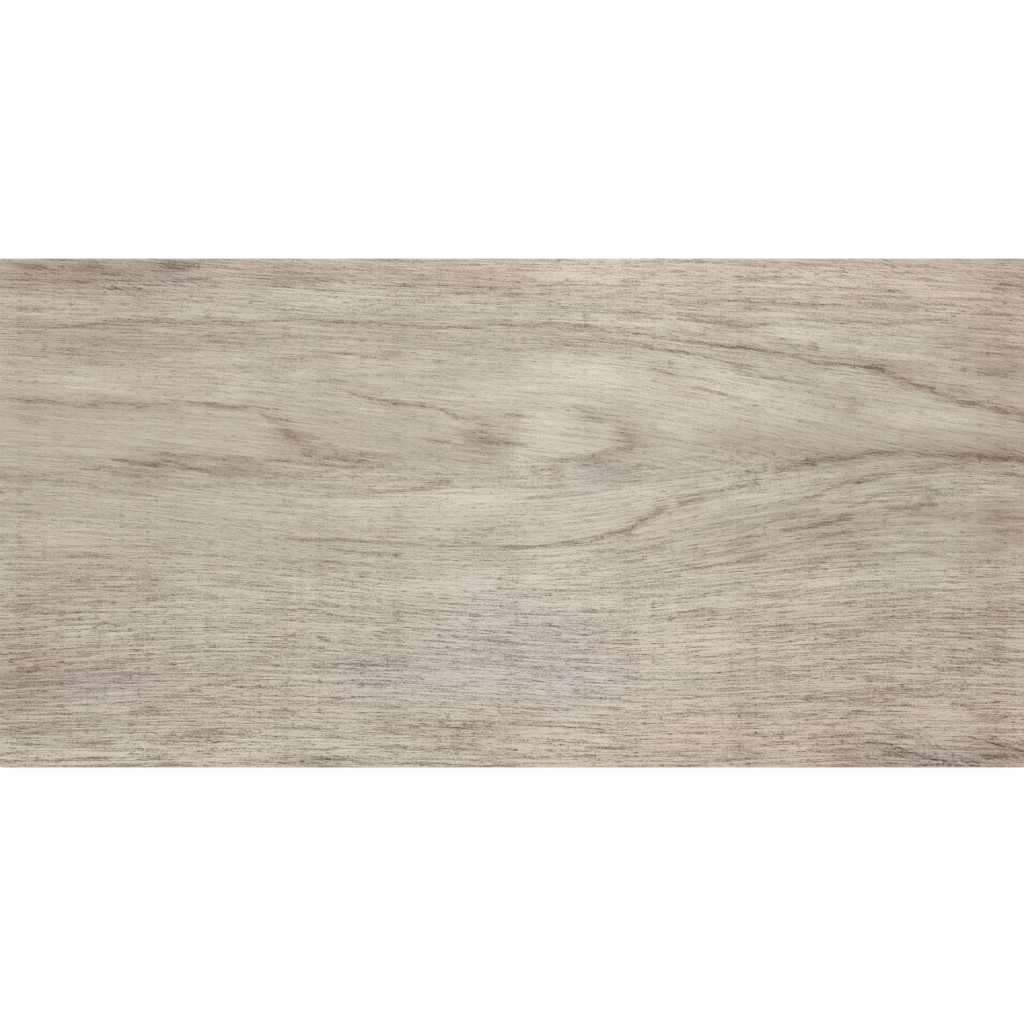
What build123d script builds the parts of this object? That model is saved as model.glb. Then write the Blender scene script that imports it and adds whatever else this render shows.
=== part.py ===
"""A wood-look ceramic tile of the 30 x 60 cm format: one dry-pressed, glazed and fired piece.

It lies face up. The origin is the middle of the plane that the back's ribs rest on,
+X runs along the length and the printed grain, +Y across it, and +Z out of the glazed face.
All sizes are in millimetres.
"""

import os

from build123d import *

# Body: the work size of the tile
length = 598.0
width = 297.0
thickness = 8.5

# Edges: a glaze-softened arris round the face, and a foot drawn in round the back,
# where the die lets the tile go
corner_radius = 1.0
arris_radius = 0.5
foot_inset = 0.7
foot_height = 1.5

# Keying relief of the back: shallow drafted pockets between ribs, inside a plain rim
rim_width = 9.0
rib_width = 4.0
pocket_depth = 0.9
pocket_corner_radius = 3.0
pocket_draft = 30.0
nearest_pitch = 29.0


def pockets_along(side):
    """How many pockets fit along a side of the tile, and the pitch that spreads them evenly."""
    relief = side - 2 * (foot_inset + rim_width) + rib_width
    count = round(relief / nearest_pitch)
    return count, relief / count


columns, pitch_x = pockets_along(length)
rows, pitch_y = pockets_along(width)

with BuildPart() as tile:
    # Blank, as it leaves the press
    with BuildSketch() as outline:
        RectangleRounded(length, width, corner_radius)
    extrude(amount=thickness)

    # Arris round the glazed face
    face = tile.faces().sort_by(Axis.Z)[-1]
    fillet(face.edges(), arris_radius)

    # Foot round the back
    back = tile.faces().sort_by(Axis.Z)[0]
    chamfer(back.edges(), length=foot_inset, length2=foot_height, reference=back)

    # Keying pockets, widest at their mouths
    with BuildSketch() as pockets:
        with GridLocations(pitch_x, pitch_y, columns, rows):
            RectangleRounded(
                pitch_x - rib_width, pitch_y - rib_width, pocket_corner_radius
            )
    extrude(amount=pocket_depth, taper=pocket_draft, mode=Mode.SUBTRACT)

tile.part.label = "tile"

os.makedirs("parts", exist_ok=True)
export_step(tile.part, "parts/tile.step")
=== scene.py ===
import math

import bpy
import numpy as np
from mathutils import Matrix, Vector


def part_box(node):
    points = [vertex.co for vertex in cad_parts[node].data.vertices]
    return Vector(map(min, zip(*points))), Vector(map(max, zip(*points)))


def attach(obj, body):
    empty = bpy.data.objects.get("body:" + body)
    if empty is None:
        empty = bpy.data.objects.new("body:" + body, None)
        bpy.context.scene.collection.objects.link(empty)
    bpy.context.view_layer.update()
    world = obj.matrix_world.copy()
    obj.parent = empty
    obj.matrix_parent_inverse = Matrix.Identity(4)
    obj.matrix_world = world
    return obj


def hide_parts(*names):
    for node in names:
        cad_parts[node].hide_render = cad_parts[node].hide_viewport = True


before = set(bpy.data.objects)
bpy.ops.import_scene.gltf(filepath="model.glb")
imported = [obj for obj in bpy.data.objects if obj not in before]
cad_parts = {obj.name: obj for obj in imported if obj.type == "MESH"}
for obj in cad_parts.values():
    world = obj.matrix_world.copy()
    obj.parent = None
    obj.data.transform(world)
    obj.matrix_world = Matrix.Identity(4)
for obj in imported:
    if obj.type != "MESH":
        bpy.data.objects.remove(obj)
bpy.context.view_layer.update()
bpy.ops.object.select_all(action="DESELECT")


# ---- The tile
# One piece of porcelain: dry-pressed with a keying grid in its back, printed with an oak
# grain, glazed matt and fired. It lies on its ribs. The print runs over the face and its
# softened arris, and the sides and the back show the bare pressed body.

# Sizes of the pressed body, in metres
low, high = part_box("tile")
length, width, thickness = high - low
corner_radius = 0.001
arris_radius = 0.0005
foot_inset = 0.0007
foot_height = 0.0015
rim_width = 0.009
rib_width = 0.004
pocket_depth = 0.0009
pocket_corner_radius = 0.003
pocket_draft = math.radians(30)
pocket_columns, pocket_rows = 20, 10

# Cells of the face: long ones along the grain, in rows about half a millimetre apart
cells_along, cells_across = 146, 540
corner_steps = 4
arris_steps = 3
merge_distance = 2e-6
same_place = 1e-5


def pick(piece, mode, chosen):
    """Selects the chosen parts of a mesh, one yes or no for each, and leaves it in edit mode."""
    bpy.ops.object.mode_set(mode="EDIT")
    bpy.ops.mesh.select_mode(type=mode)
    bpy.ops.mesh.select_all(action="DESELECT")
    bpy.ops.object.mode_set(mode="OBJECT")
    parts = {"EDGE": piece.data.edges, "FACE": piece.data.polygons}[mode]
    parts.foreach_set("select", np.asarray(chosen, bool))
    bpy.ops.object.mode_set(mode="EDIT")


def corners_of(piece):
    """Where the vertices of a mesh are, one row each."""
    places = np.empty(len(piece.data.vertices) * 3, np.float32)
    piece.data.vertices.foreach_get("co", places)
    return places.reshape(-1, 3).astype(float)


def open_edges(piece):
    """The ends of every edge, and which edges have only one face."""
    ends = np.empty(len(piece.data.edges) * 2, np.int32)
    piece.data.edges.foreach_get("vertices", ends)
    used = np.empty(len(piece.data.loops), np.int32)
    piece.data.loops.foreach_get("edge_index", used)
    return ends.reshape(-1, 2), np.bincount(used, minlength=len(piece.data.edges)) == 1


# The flat of the face, up to the centres of the four corners
half_long = length / 2 - corner_radius
half_wide = width / 2 - corner_radius
bpy.ops.mesh.primitive_grid_add(
    x_subdivisions=cells_along, y_subdivisions=cells_across, size=2, location=(0, 0, 0)
)
tile = bpy.context.object
tile.name = "glazed_tile"
bpy.ops.object.mode_set(mode="EDIT")
bpy.ops.transform.resize(value=(half_long, half_wide, 1), center_override=(0, 0, 0))
bpy.ops.transform.translate(value=(0, 0, thickness))
bpy.ops.object.mode_set(mode="OBJECT")

# The profile of the edge, as steps outwards and downwards: the flat, the rounded arris,
# the pressed side, and the foot that draws in round the back
turns = [math.pi / 2 * step / arris_steps for step in range(arris_steps + 1)]
profile = [(corner_radius - arris_radius, 0.0)]
profile += [
    (
        arris_radius * (math.sin(b) - math.sin(a)),
        arris_radius * (math.cos(b) - math.cos(a)),
    )
    for a, b in zip(turns, turns[1:])
]
profile += [(0.0, -(thickness - arris_radius - foot_height)), (-foot_inset, -foot_height)]

# Each side of the flat is drawn out along that profile
reaches = (half_long, half_wide)
for along, side in ((0, 1), (0, -1), (1, 1), (1, -1)):
    places = corners_of(tile)
    ends, free = open_edges(tile)
    on_side = places[:, along] * side > reaches[along] - same_place
    on_side &= np.abs(places[:, 1 - along]) < reaches[1 - along] + same_place
    on_side &= places[:, 2] > thickness - same_place
    pick(tile, "EDGE", free & on_side[ends].all(1))
    for out, down in profile:
        step = [0.0, 0.0, down]
        step[along] = out * side
        bpy.ops.mesh.extrude_region_move(TRANSFORM_OT_translate={"value": step})
    bpy.ops.object.mode_set(mode="OBJECT")

# Each corner is the end of a long side's profile, spun a quarter turn about the corner's centre
for side_x in (1, -1):
    for side_y in (1, -1):
        places = corners_of(tile)
        ends, free = open_edges(tile)
        at_end = np.abs(places[:, 0] - side_x * half_long) < same_place
        at_end &= places[:, 1] * side_y > half_wide - same_place
        pick(tile, "EDGE", free & at_end[ends].all(1))
        bpy.ops.mesh.spin(
            steps=corner_steps,
            angle=math.pi / 2,
            center=(side_x * half_long, side_y * half_wide, 0),
            axis=(0, 0, side_x * side_y),
        )
        bpy.ops.object.mode_set(mode="OBJECT")
bpy.ops.object.mode_set(mode="EDIT")
bpy.ops.mesh.select_all(action="SELECT")
bpy.ops.mesh.remove_doubles(threshold=merge_distance)
bpy.ops.object.mode_set(mode="OBJECT")

# One keying pocket, modelled in the first place of the grid and then repeated along and across
pitch_x = (length - 2 * (foot_inset + rim_width) + rib_width) / pocket_columns
pitch_y = (width - 2 * (foot_inset + rim_width) + rib_width) / pocket_rows
mouth_x, mouth_y = pitch_x - rib_width, pitch_y - rib_width
first = (-pitch_x * (pocket_columns - 1) / 2, -pitch_y * (pocket_rows - 1) / 2, 0)
bpy.ops.object.select_all(action="DESELECT")
bpy.ops.mesh.primitive_plane_add(size=1, location=(0, 0, 0))
pockets = bpy.context.object
bpy.ops.object.mode_set(mode="EDIT")
bpy.ops.transform.resize(value=(mouth_x, mouth_y, 1), center_override=(0, 0, 0))
bpy.ops.transform.translate(value=first)
bpy.ops.mesh.bevel(affect="VERTICES", offset=pocket_corner_radius, segments=3)
bpy.ops.mesh.extrude_region_move(TRANSFORM_OT_translate={"value": (0, 0, pocket_depth)})
drawn_in = 2 * pocket_depth * math.tan(pocket_draft)
bpy.ops.transform.resize(
    value=(1 - drawn_in / mouth_x, 1 - drawn_in / mouth_y, 1), center_override=first
)
bpy.ops.object.mode_set(mode="OBJECT")
heights = corners_of(pockets)[:, 2]
mouths = [(heights[list(face.vertices)] < same_place).all() for face in pockets.data.polygons]
pick(pockets, "FACE", mouths)
bpy.ops.mesh.delete(type="ONLY_FACE")
bpy.ops.object.mode_set(mode="OBJECT")
for count, offset in ((pocket_columns, (pitch_x, 0, 0)), (pocket_rows, (0, pitch_y, 0))):
    rank = pockets.modifiers.new("rank", "ARRAY")
    rank.count = count
    rank.use_relative_offset = False
    rank.use_constant_offset = True
    rank.constant_offset_displace = offset
    bpy.ops.object.modifier_apply(modifier="rank")

# The pockets are joined to the body, and the ribs between them are filled in
bpy.ops.object.select_all(action="DESELECT")
pockets.select_set(True)
tile.select_set(True)
bpy.context.view_layer.objects.active = tile
bpy.ops.object.join()
places = corners_of(tile)
ends, free = open_edges(tile)
pick(tile, "EDGE", free & (places[ends, 2] < same_place).all(1))
bpy.ops.mesh.fill(use_beauty=False)
bpy.ops.mesh.select_all(action="SELECT")
bpy.ops.mesh.normals_make_consistent(inside=False)
bpy.ops.object.mode_set(mode="OBJECT")

# The print's figure, drawn from the face of the tile. Each streak is how dark it is, its
# breadth, and its points, all in millimetres from the left and the top edge of the face.
# Umber ones are brown, grey ones are neutral, and pale ones are the light wood between them.
umber_streaks = (
    # the slanting dashes in the dark corner
    (0.6, 1.1, (92, 2.3), (103, 5.6), (113, 7.2)), (0.6, 1.1, (95, 4.6), (103, 6.6), (111, 7.9)),
    (0.5, 1, (102, 1.4), (119, 4.8)), (0.5, 1, (78, 3), (90, 6.5)),
    (0.5, 1, (56, 4.5), (64, 7), (73, 9.2)), (0.4, 1, (20, 4.6), (38, 8.3)),
    (0.4, 1, (34, 3), (52, 8.2)), (0.4, 1, (10, 9.9), (25, 13.4)),
    (0.45, 1, (64, 11.4), (80, 14.3)),
    # the dark splinters of the left cluster
    (0.85, 1, (65, 117.3), (72.6, 118.1), (80, 119.6), (89, 120.7), (95, 122.2)),
    (0.7, 1, (92, 116.7), (100, 118.6), (118.5, 124.3), (126, 125.4), (138, 128.3)),
    (0.6, 0.9, (84, 118), (96, 120.8)), (0.55, 1, (107, 122.6), (122, 123.3)),
    (0.5, 1, (131, 131), (140, 131.1)),
    # along the top edge
    (0.3, 3, (0, 6.5), (15, 7), (40, 6), (60, 8), (88, 9)),
    (0.5, 1.6, (86, 4), (95, 6.5), (99, 7.2), (103, 7)),
    (0.45, 1.5, (0, 13), (30, 14), (40, 13.3), (50, 13.8), (57, 13), (90, 13), (118, 12),
        (125, 11), (135, 10.5), (149, 10.5)),
    (0.5, 1.6, (43, 13.4), (50, 13.8), (56, 13.2)), (0.35, 1.6, (96, 12.8), (122, 11.6)),
    (0.4, 1.5, (0, 17), (10, 17), (17, 16.5), (25, 17.5), (35, 18), (65, 18), (92, 18.8)),
    (0.3, 1.2, (60, 15.5), (66, 15.7)), (0.25, 1.1, (30, 21), (62, 22)),
    (0.3, 1, (69, 21), (80, 21.5), (89, 21.3)),
    (0.45, 1.4, (146, 10.3), (160, 12), (167, 11), (180, 13), (204, 13.5)),
    (0.35, 1.2, (165, 10), (175, 9.5), (195, 11.5), (207, 11.5)),
    (0.3, 1.1, (168, 7.5), (189, 8.5)), (0.45, 1.2, (158, 15.5), (177, 17)),
    (0.45, 1.4, (178, 17), (187, 18.5), (195, 19), (207, 18.7), (213, 19.5)),
    (0.5, 1.1, (220, 11.5), (240, 12.5), (252, 12.5)),
    (0.3, 1.2, (222, 6.5), (247, 7.6), (257, 7.5)), (0.45, 1.3, (276, 7), (292, 8.6)),
    (0.4, 1.2, (262, 11), (285, 12), (297, 12)),
    (0.7, 1.4, (227, 15.7), (240, 15), (250, 15.8), (270, 15.8), (285, 17), (307, 17)),
    (0.4, 1.2, (247, 20), (260, 20.8), (285, 20.5), (292, 21), (301, 20.8)),
    (0.35, 1.3, (296, 7), (310, 7), (330, 6), (344, 6)),
    (0.65, 1.3, (346, 6), (353, 6.3), (359, 6)), (0.4, 1.2, (358, 6.6), (375, 9.3), (384, 9)),
    (0.35, 1.2, (383, 8), (407, 8)), (0.35, 1.2, (398, 5.3), (410, 7.5), (419, 7.5)),
    (0.35, 1.2, (328, 2), (357, 2.5)), (0.4, 1.2, (347, 11.5), (355, 12), (362, 13)),
    (0.5, 1.3, (305, 16.8), (328, 15.3), (355, 16.3), (375, 15.5)),
    (0.4, 1.2, (383, 15), (395, 14.5), (405, 15), (415, 14.5), (422, 13.3)),
    (0.55, 1.5, (428, 13), (438, 11.5), (463, 10.7)),
    (0.4, 1.2, (298, 21), (322, 20.5), (330, 19.3), (342, 19.5)),
    (0.45, 1.3, (353, 21), (365, 20.5), (375, 20.7), (383, 20), (395, 20.2), (402, 21),
        (410, 20.5), (420, 21), (450, 19), (475, 18.8), (517, 17)),
    (0.55, 1.3, (388, 26), (410, 26), (430, 24.5), (440, 24.7), (449, 26), (470, 27), (492, 27.4)),
    (0.35, 1.1, (464, 26.8), (488, 27.3)), (0.4, 1, (458, 9), (470, 9.5)),
    (0.3, 1.1, (472, 8.7), (485, 8), (497, 8)), (0.4, 1.1, (486, 24), (497, 24.3)),
    (0.4, 1.1, (493, 20.5), (503, 22), (512, 22.5)), (0.4, 1.1, (510, 20.3), (522, 21.5)),
    (0.4, 1.1, (518, 22.8), (530, 24.5), (538, 25)),
    (0.6, 1.4, (498, 26), (517, 27.7), (535, 28.5), (541, 27), (558, 27.3)),
    (0.45, 1.2, (513, 16.8), (520, 18.7), (525, 19.3), (534, 17.8)),
    (0.4, 1.2, (533, 11), (545, 11.4)), (0.35, 1.3, (543, 23.5), (592, 24)),
    (0.5, 1.5, (558, 12), (580, 14), (585, 15), (590, 15), (598, 16)),
    (0.4, 1.4, (582, 14.8), (594, 15)), (0.4, 2, (571, 6), (580, 7), (587, 9), (598, 10)),
    (0.35, 1.2, (538, 18), (565, 18.5), (598, 20.5)), (0.4, 1.2, (551, 31), (563, 34), (572, 34)),
    (0.5, 1.4, (573, 32), (583, 33), (594, 33)), (0.45, 1.3, (581, 37), (598, 36.5)),
    (0.4, 1.2, (543, 41), (565, 41.5), (575, 41), (590, 41.5), (598, 43)),
    # the lines of the upper left
    (0.55, 1.4, (0, 38), (20, 39), (30, 40), (40, 40), (70, 36.5), (80, 37), (90, 36.5),
        (100, 37.8), (118, 37.8), (125, 36.8), (145, 37.5), (160, 37)),
    (0.45, 1.5, (84, 36.8), (110, 38), (121, 37.6)), (0.4, 1.6, (36, 56), (60, 57)),
    (0.5, 2.4, (163, 57), (175, 57.5), (185, 57), (192, 55.7), (207, 55.6)),
    (0.6, 1.4, (192, 55.6), (207, 55.7)), (0.55, 1.5, (208, 56.6), (232, 59)),
    # the long dark line that becomes the main streak of the right half
    (0.55, 1.3, (158, 36), (180, 36), (195, 37.5), (207, 38), (223, 38), (231, 38.7)),
    (0.75, 1.4, (228, 38), (250, 39.8), (270, 40.2), (277, 41), (285, 40.4)),
    (0.4, 1.3, (266, 40.2), (274, 40.7), (283, 40.6)),
    (0.65, 1.5, (283, 39), (290, 38.7), (310, 39), (320, 38.3), (360, 41.5), (370, 43),
        (384, 46), (392, 46.8)),
    (0.35, 1.4, (332, 39.6), (353, 40.8)),
    (0.85, 2, (388, 46.4), (428, 52), (435, 52.3), (467, 57.6)),
    (0.4, 2.2, (418, 50.8), (428, 52), (437, 52.3), (441, 51.5)),
    (0.9, 2.6, (462, 57), (467, 58), (472, 60), (480, 62), (492, 61.7), (513, 64.4), (518, 66.5)),
    (0.95, 3.6, (503, 63.2), (513, 64.6), (524, 70), (543, 76.5), (549, 79)),
    (0.85, 3, (540, 75.6), (547, 78.8), (560, 83.5), (567, 84.6), (573, 86.5), (588, 90),
        (593, 90), (598, 92.5)),
    (0.4, 1.8, (560, 83.6), (575, 84.6)), (0.6, 1.8, (583, 89.4), (597, 90.6)),
    (0.35, 2, (449, 51), (455, 52), (465, 51.4), (475, 54), (485, 56), (497, 56.6)),
    (0.55, 1.8, (473, 57.8), (485, 60), (507, 61.2)),
    (0.45, 2, (548, 74.4), (560, 76), (572, 78.3)),
    (0.45, 1.6, (566, 83.4), (583, 82.5), (592, 85)),
    # the shorter streaks above and below it
    (0.65, 1.4, (323, 29), (345, 29), (362, 31.5), (376, 33), (385, 33)),
    (0.4, 1.3, (362, 31.6), (380, 32.9)),
    (0.75, 1.6, (393, 34.3), (402, 36), (408, 36.3), (420, 38.5), (436, 40), (451, 38.4)),
    (0.4, 1.5, (422, 38.8), (432, 39.7), (441, 39.6)),
    (0.35, 1.5, (313, 32), (325, 31.5), (335, 31.7)), (0.4, 1.2, (308, 46), (320, 46), (332, 46.7)),
    (0.65, 1.4, (322, 48), (335, 49), (345, 48.5), (355, 49), (362, 50), (370, 50.3),
        (377, 51.3), (385, 51.6)),
    (0.5, 1.4, (298, 53), (320, 53), (328, 53.5), (354, 57)), (0.3, 1.2, (360, 58), (372, 58.2)),
    (0.75, 2, (386, 52.8), (415, 58), (423, 60), (430, 63), (437, 63.5), (444, 63)),
    (0.5, 2.4, (376, 62.6), (384, 65), (390, 67.5), (397, 69.5), (402, 70)),
    (0.4, 3.4, (380, 64), (388, 67), (394, 70)), (0.6, 2.6, (396, 71.5), (403, 74), (427, 80.5)),
    (0.5, 1.6, (428, 66.8), (440, 69), (457, 70.7), (465, 72), (477, 73.2)),
    (0.35, 1.3, (403, 79.6), (417, 80.3)), (0.5, 1.4, (423, 81.8), (434, 83)),
    (0.35, 1.2, (383, 83), (402, 84.5)), (0.35, 1.1, (363, 80), (374, 81)),
    (0.35, 1.4, (398, 85), (408, 87), (415, 87)),
    (0.5, 1.5, (473, 37), (483, 38), (492, 38), (500, 36.5), (510, 38), (530, 37.5), (540, 36.3),
        (550, 36), (558, 36.3)),
    (0.4, 2.2, (470, 75), (475, 78), (506, 86)), (0.4, 3.6, (495, 82.4), (505, 85.6)),
    (0.3, 1.2, (481, 86), (490, 88), (502, 88)),
    (0.5, 1.4, (541, 51), (550, 52.3), (556, 52), (562, 50)),
    (0.5, 1.6, (583, 51), (592, 52), (598, 52)), (0.35, 1.5, (558, 55), (587, 55.5)),
    (0.4, 1.6, (583, 60), (598, 60)), (0.5, 1.6, (588, 63), (598, 64)),
    (0.5, 1.8, (553, 63.6), (565, 66), (585, 68.5), (598, 69)),
    # the left tongue: its upper line, its steep brown limb and its tip
    (0.55, 1.8, (0, 80), (18, 84), (25, 83.6), (35, 84), (55, 86), (62, 85), (70, 84.5),
        (78, 86), (84, 86.5), (90, 85), (98, 84.5), (117, 85), (125, 86), (141, 87), (151, 86.5)),
    (0.5, 1.4, (49, 85.8), (54, 86.1), (59, 85.6)), (0.45, 1.6, (75, 85.6), (83, 86.6), (88, 85.8)),
    (0.5, 1.4, (120, 85.4), (141, 87), (148, 86.7)),
    (0.35, 1.6, (18, 82.4), (26, 82.2), (32, 82.8)),
    (0.5, 2.2, (149, 90), (155, 92), (163, 93), (172, 95.4)),
    (0.5, 2.2, (161, 99.6), (168, 103), (175, 105), (183, 105), (190, 106)),
    (0.45, 2.6, (164, 103.6), (183, 109), (202, 108)),
    (0.7, 2.8, (173, 112.6), (180, 114.8), (187, 113.5)),
    (0.7, 2.2, (184, 115), (192, 117), (207, 117.5), (215, 119), (228, 120.6)),
    (0.4, 2.8, (198, 117), (207, 117.8), (217, 119.4)),
    (0.5, 1.6, (150, 86.5), (160, 88), (167, 87.5)),
    # the middle tongue
    (0.35, 3.4, (190, 71.6), (203, 78.6)),
    (0.85, 2, (200, 77.2), (207, 79.5), (236, 85), (252, 86.8)),
    (0.45, 2, (207, 79.6), (237, 85.2)), (0.6, 1.8, (246, 86), (255, 87.2), (266, 92), (272, 93.6)),
    (0.45, 1.6, (258, 88.4), (265, 91.5), (272, 93), (280, 93), (298, 91.4), (308, 91.6)),
    (0.6, 1.5, (298, 91), (308, 92)), (0.45, 1.2, (298, 94), (307, 94.5)),
    (0.65, 1.8, (274, 96), (287, 98), (295, 98)), (0.35, 1.6, (296, 97), (310, 98.5), (320, 98)),
    (0.35, 5, (268, 102), (276, 104.6)),
    (0.45, 4.6, (275, 104.8), (283, 107.4), (292, 108.4), (300, 107)),
    (0.5, 1.6, (280, 106), (290, 107.8), (298, 107.4), (308, 108.6)),
    (0.75, 1.4, (298, 107.8), (305, 108.6), (312, 108.6)), (0.45, 1.3, (247, 106), (267, 107.5)),
    (0.35, 1.3, (273, 113), (282, 113)), (0.35, 1.3, (283, 114.6), (292, 117.2)),
    (0.5, 1.8, (186, 138), (200, 138), (238, 135.5), (246, 133.6)),
    (0.65, 4.2, (240, 135), (258, 131.4), (267, 130.6)), (0.35, 1.2, (170, 138.5), (182, 138.2)),
    # the swirl
    (0.45, 3, (333, 85.6), (340, 88.6), (345, 91.6), (352, 93.6), (360, 93.6)),
    (0.5, 1.8, (341, 91.6), (347, 93), (353, 93.6)), (0.4, 1.4, (357, 93), (364, 94)),
    (0.5, 4, (358, 99.2), (369, 104)), (0.4, 1.4, (373, 96), (380, 97), (385, 99)),
    (0.35, 1.4, (368, 104), (392, 105)),
    (0.6, 3.6, (339, 117), (344, 115.6), (367, 111.6), (372, 108.6)),
    (0.5, 2.2, (346, 116.2), (355, 119.6)),
    (0.5, 2.6, (324, 120.4), (329, 117.8), (336, 116.4), (344, 117.2)),
    # the lower side of the figure: from the right edge in to the middle of the tile
    (0.75, 2.6, (449, 124.6), (465, 121), (472, 120.4), (479, 118)),
    (0.7, 2.8, (468, 118.4), (475, 118.5), (483, 117), (490, 117), (505, 114.4)),
    (0.5, 1.4, (488, 117), (495, 116.2), (500, 116.4)),
    (0.8, 2, (500, 114), (510, 113.5), (520, 113.7), (528, 113), (545, 115), (565, 115.5),
        (573, 116.4)),
    (0.4, 1.6, (502, 114), (512, 113.4), (527, 113.8)),
    (0.95, 2.8, (568, 116), (580, 117), (592, 116.8), (598, 118)),
    (0.4, 1.4, (592, 115), (598, 115.6)),
    (0.6, 2.2, (393, 143), (408, 140.5), (415, 137.5), (422, 136.5), (435, 132), (445, 130.6)),
    (0.5, 3.6, (394, 142.2), (402, 141.6), (411, 140)), (0.65, 4, (379, 148.6), (392, 144)),
    (0.6, 3, (361, 161), (368, 158), (371, 155), (376, 152.4), (382, 151), (387, 148.6)),
    (0.5, 2.2, (366, 157.6), (372, 154.6), (381, 151.6)),
    (0.6, 2.2, (343, 165.6), (356, 161.5), (363, 160.2), (372, 160)),
    (0.7, 1.5, (348, 160), (365, 159.8), (371, 160.4)),
    (0.65, 1.5, (255, 167), (262, 167.7), (278, 167.5), (307, 168.7), (323, 166.7), (328, 165.7),
        (340, 166.4), (347, 165.4)),
    (0.6, 1.5, (325, 165.9), (341, 166.5)), (0.45, 1.4, (256, 167.2), (262, 167.8), (268, 167.8)),
    (0.4, 1.4, (274, 167.6), (288, 168)),
    (0.7, 1.3, (163, 163), (180, 164.2), (197, 164), (248, 167)),
    (0.65, 1.6, (194, 170), (200, 170.7), (237, 173)),
    (0.55, 1.4, (268, 157), (275, 157.7), (283, 157.8), (299, 156), (308, 156.2)),
    # the lines that fan out below it on the right
    (0.65, 2, (468, 139.6), (478, 138), (483, 135), (490, 133), (495, 131), (503, 130.5),
        (517, 127.5), (522, 125), (538, 124), (552, 121), (560, 120.5), (570, 118.6)),
    (0.4, 1.6, (488, 131.4), (505, 129.6)), (0.4, 1.6, (501, 128.6), (510, 126), (519, 124.8)),
    (0.35, 1.6, (526, 124.6), (542, 123.6)),
    (0.6, 1.6, (483, 143), (495, 142.5), (503, 143), (508, 140), (520, 136), (538, 133.5),
        (547, 133)),
    (0.5, 1.4, (553, 131), (575, 131.5), (584, 131)), (0.35, 1.2, (558, 126), (575, 127.5)),
    (0.85, 2.4, (583, 124.8), (590, 126), (598, 128)), (0.7, 1.6, (590, 133), (598, 134)),
    (0.85, 2.6, (517, 148), (527, 146), (533, 145.5), (540, 143.8), (549, 143)),
    (0.45, 1.6, (463, 149.4), (482, 147.5)), (0.4, 1.5, (581, 142), (592, 143)),
    (0.35, 1.2, (448, 141.4), (462, 141)),
    (0.6, 1.8, (428, 158.5), (437, 158.3), (443, 156), (449, 154.7), (453, 153), (460, 151),
        (469, 150)),
    (0.95, 2.2, (455, 159.2), (470, 157.3), (490, 152.6), (499, 151.8)),
    (0.35, 2.2, (472, 156.8), (488, 153.2)), (0.6, 1.5, (461, 164.2), (497, 159.4)),
    (0.45, 1.4, (498, 159), (520, 156.4)), (0.4, 1.4, (528, 155), (537, 153), (543, 153)),
    (0.3, 1.3, (501, 163.6), (514, 162)), (0.65, 1.5, (493, 168), (505, 168.7), (510, 168)),
    (0.6, 1.6, (511, 173), (520, 173.2), (533, 170.5), (542, 170)),
    (0.5, 1.4, (436, 161.6), (447, 162.4)),
    (0.45, 2, (388, 172.8), (398, 172), (405, 170.5), (412, 170)),
    (0.65, 1.5, (391, 178), (400, 177.5), (410, 174.5), (417, 174), (422, 172), (433, 168.5),
        (442, 167)),
    (0.35, 1.5, (406, 175.2), (412, 174.2), (418, 173.8)),
    (0.5, 1.5, (401, 180), (410, 180.5), (417, 179.5), (422, 178), (430, 177), (438, 174.5),
        (447, 173)),
    (0.6, 1.4, (343, 172.5), (352, 172), (358, 171), (372, 171), (377, 169.7), (397, 167)),
    (0.45, 1.3, (343, 179), (352, 178.5), (358, 177.3), (380, 176.5)),
    (0.35, 1.5, (403, 158), (420, 157.7), (429, 158)), (0.35, 1.3, (416, 152.2), (427, 152.6)),
    (0.6, 2, (583, 150.5), (598, 152)), (0.3, 1.2, (548, 152.4), (559, 151.6)),
    (0.3, 1.2, (575, 159.4), (598, 159.2)), (0.4, 1.6, (583, 169), (594, 170)),
    (0.4, 1.3, (553, 178), (562, 179), (575, 177), (587, 175.8)),
    (0.35, 1.3, (468, 178), (490, 177.5)), (0.35, 1.3, (455, 182.6), (465, 182.4)),
    (0.35, 1.2, (498, 176.8), (510, 178.2)),
    # the lower right
    (0.65, 1.4, (445, 241), (458, 240.5), (480, 236.7), (500, 235.5), (510, 233.7), (530, 232.5),
        (538, 232.7), (545, 232), (585, 234), (598, 234)),
    (0.3, 1.4, (505, 234.4), (520, 233)), (0.3, 1.3, (577, 233.8), (593, 234)),
    (0.45, 1.2, (522, 236), (555, 236), (580, 237.5), (598, 238)),
    (0.4, 1.2, (478, 242), (515, 240), (525, 239), (557, 238.7), (567, 239.4)),
    (0.5, 1.3, (505, 253.2), (522, 252), (535, 252.3), (550, 251.5), (560, 251.5), (577, 252.4)),
    (0.4, 1.2, (518, 256.8), (540, 256), (552, 256)),
    (0.35, 1.4, (558, 257.6), (570, 257), (582, 257)),
    (0.7, 2.4, (467, 257.7), (477, 257), (494, 256.6)),
    (0.45, 1.8, (490, 256), (500, 256.5), (512, 257.8)),
    (0.45, 1.4, (521, 263.2), (527, 263.3), (533, 261.6), (549, 263)),
    (0.35, 1.3, (573, 263), (587, 264)), (0.4, 1.3, (461, 266), (470, 266.7), (512, 265.4)),
    (0.45, 1.6, (491, 267.6), (498, 269.5), (503, 268.7), (510, 268.8)),
    (0.35, 1.2, (558, 269.4), (598, 266.5)),
)
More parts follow.
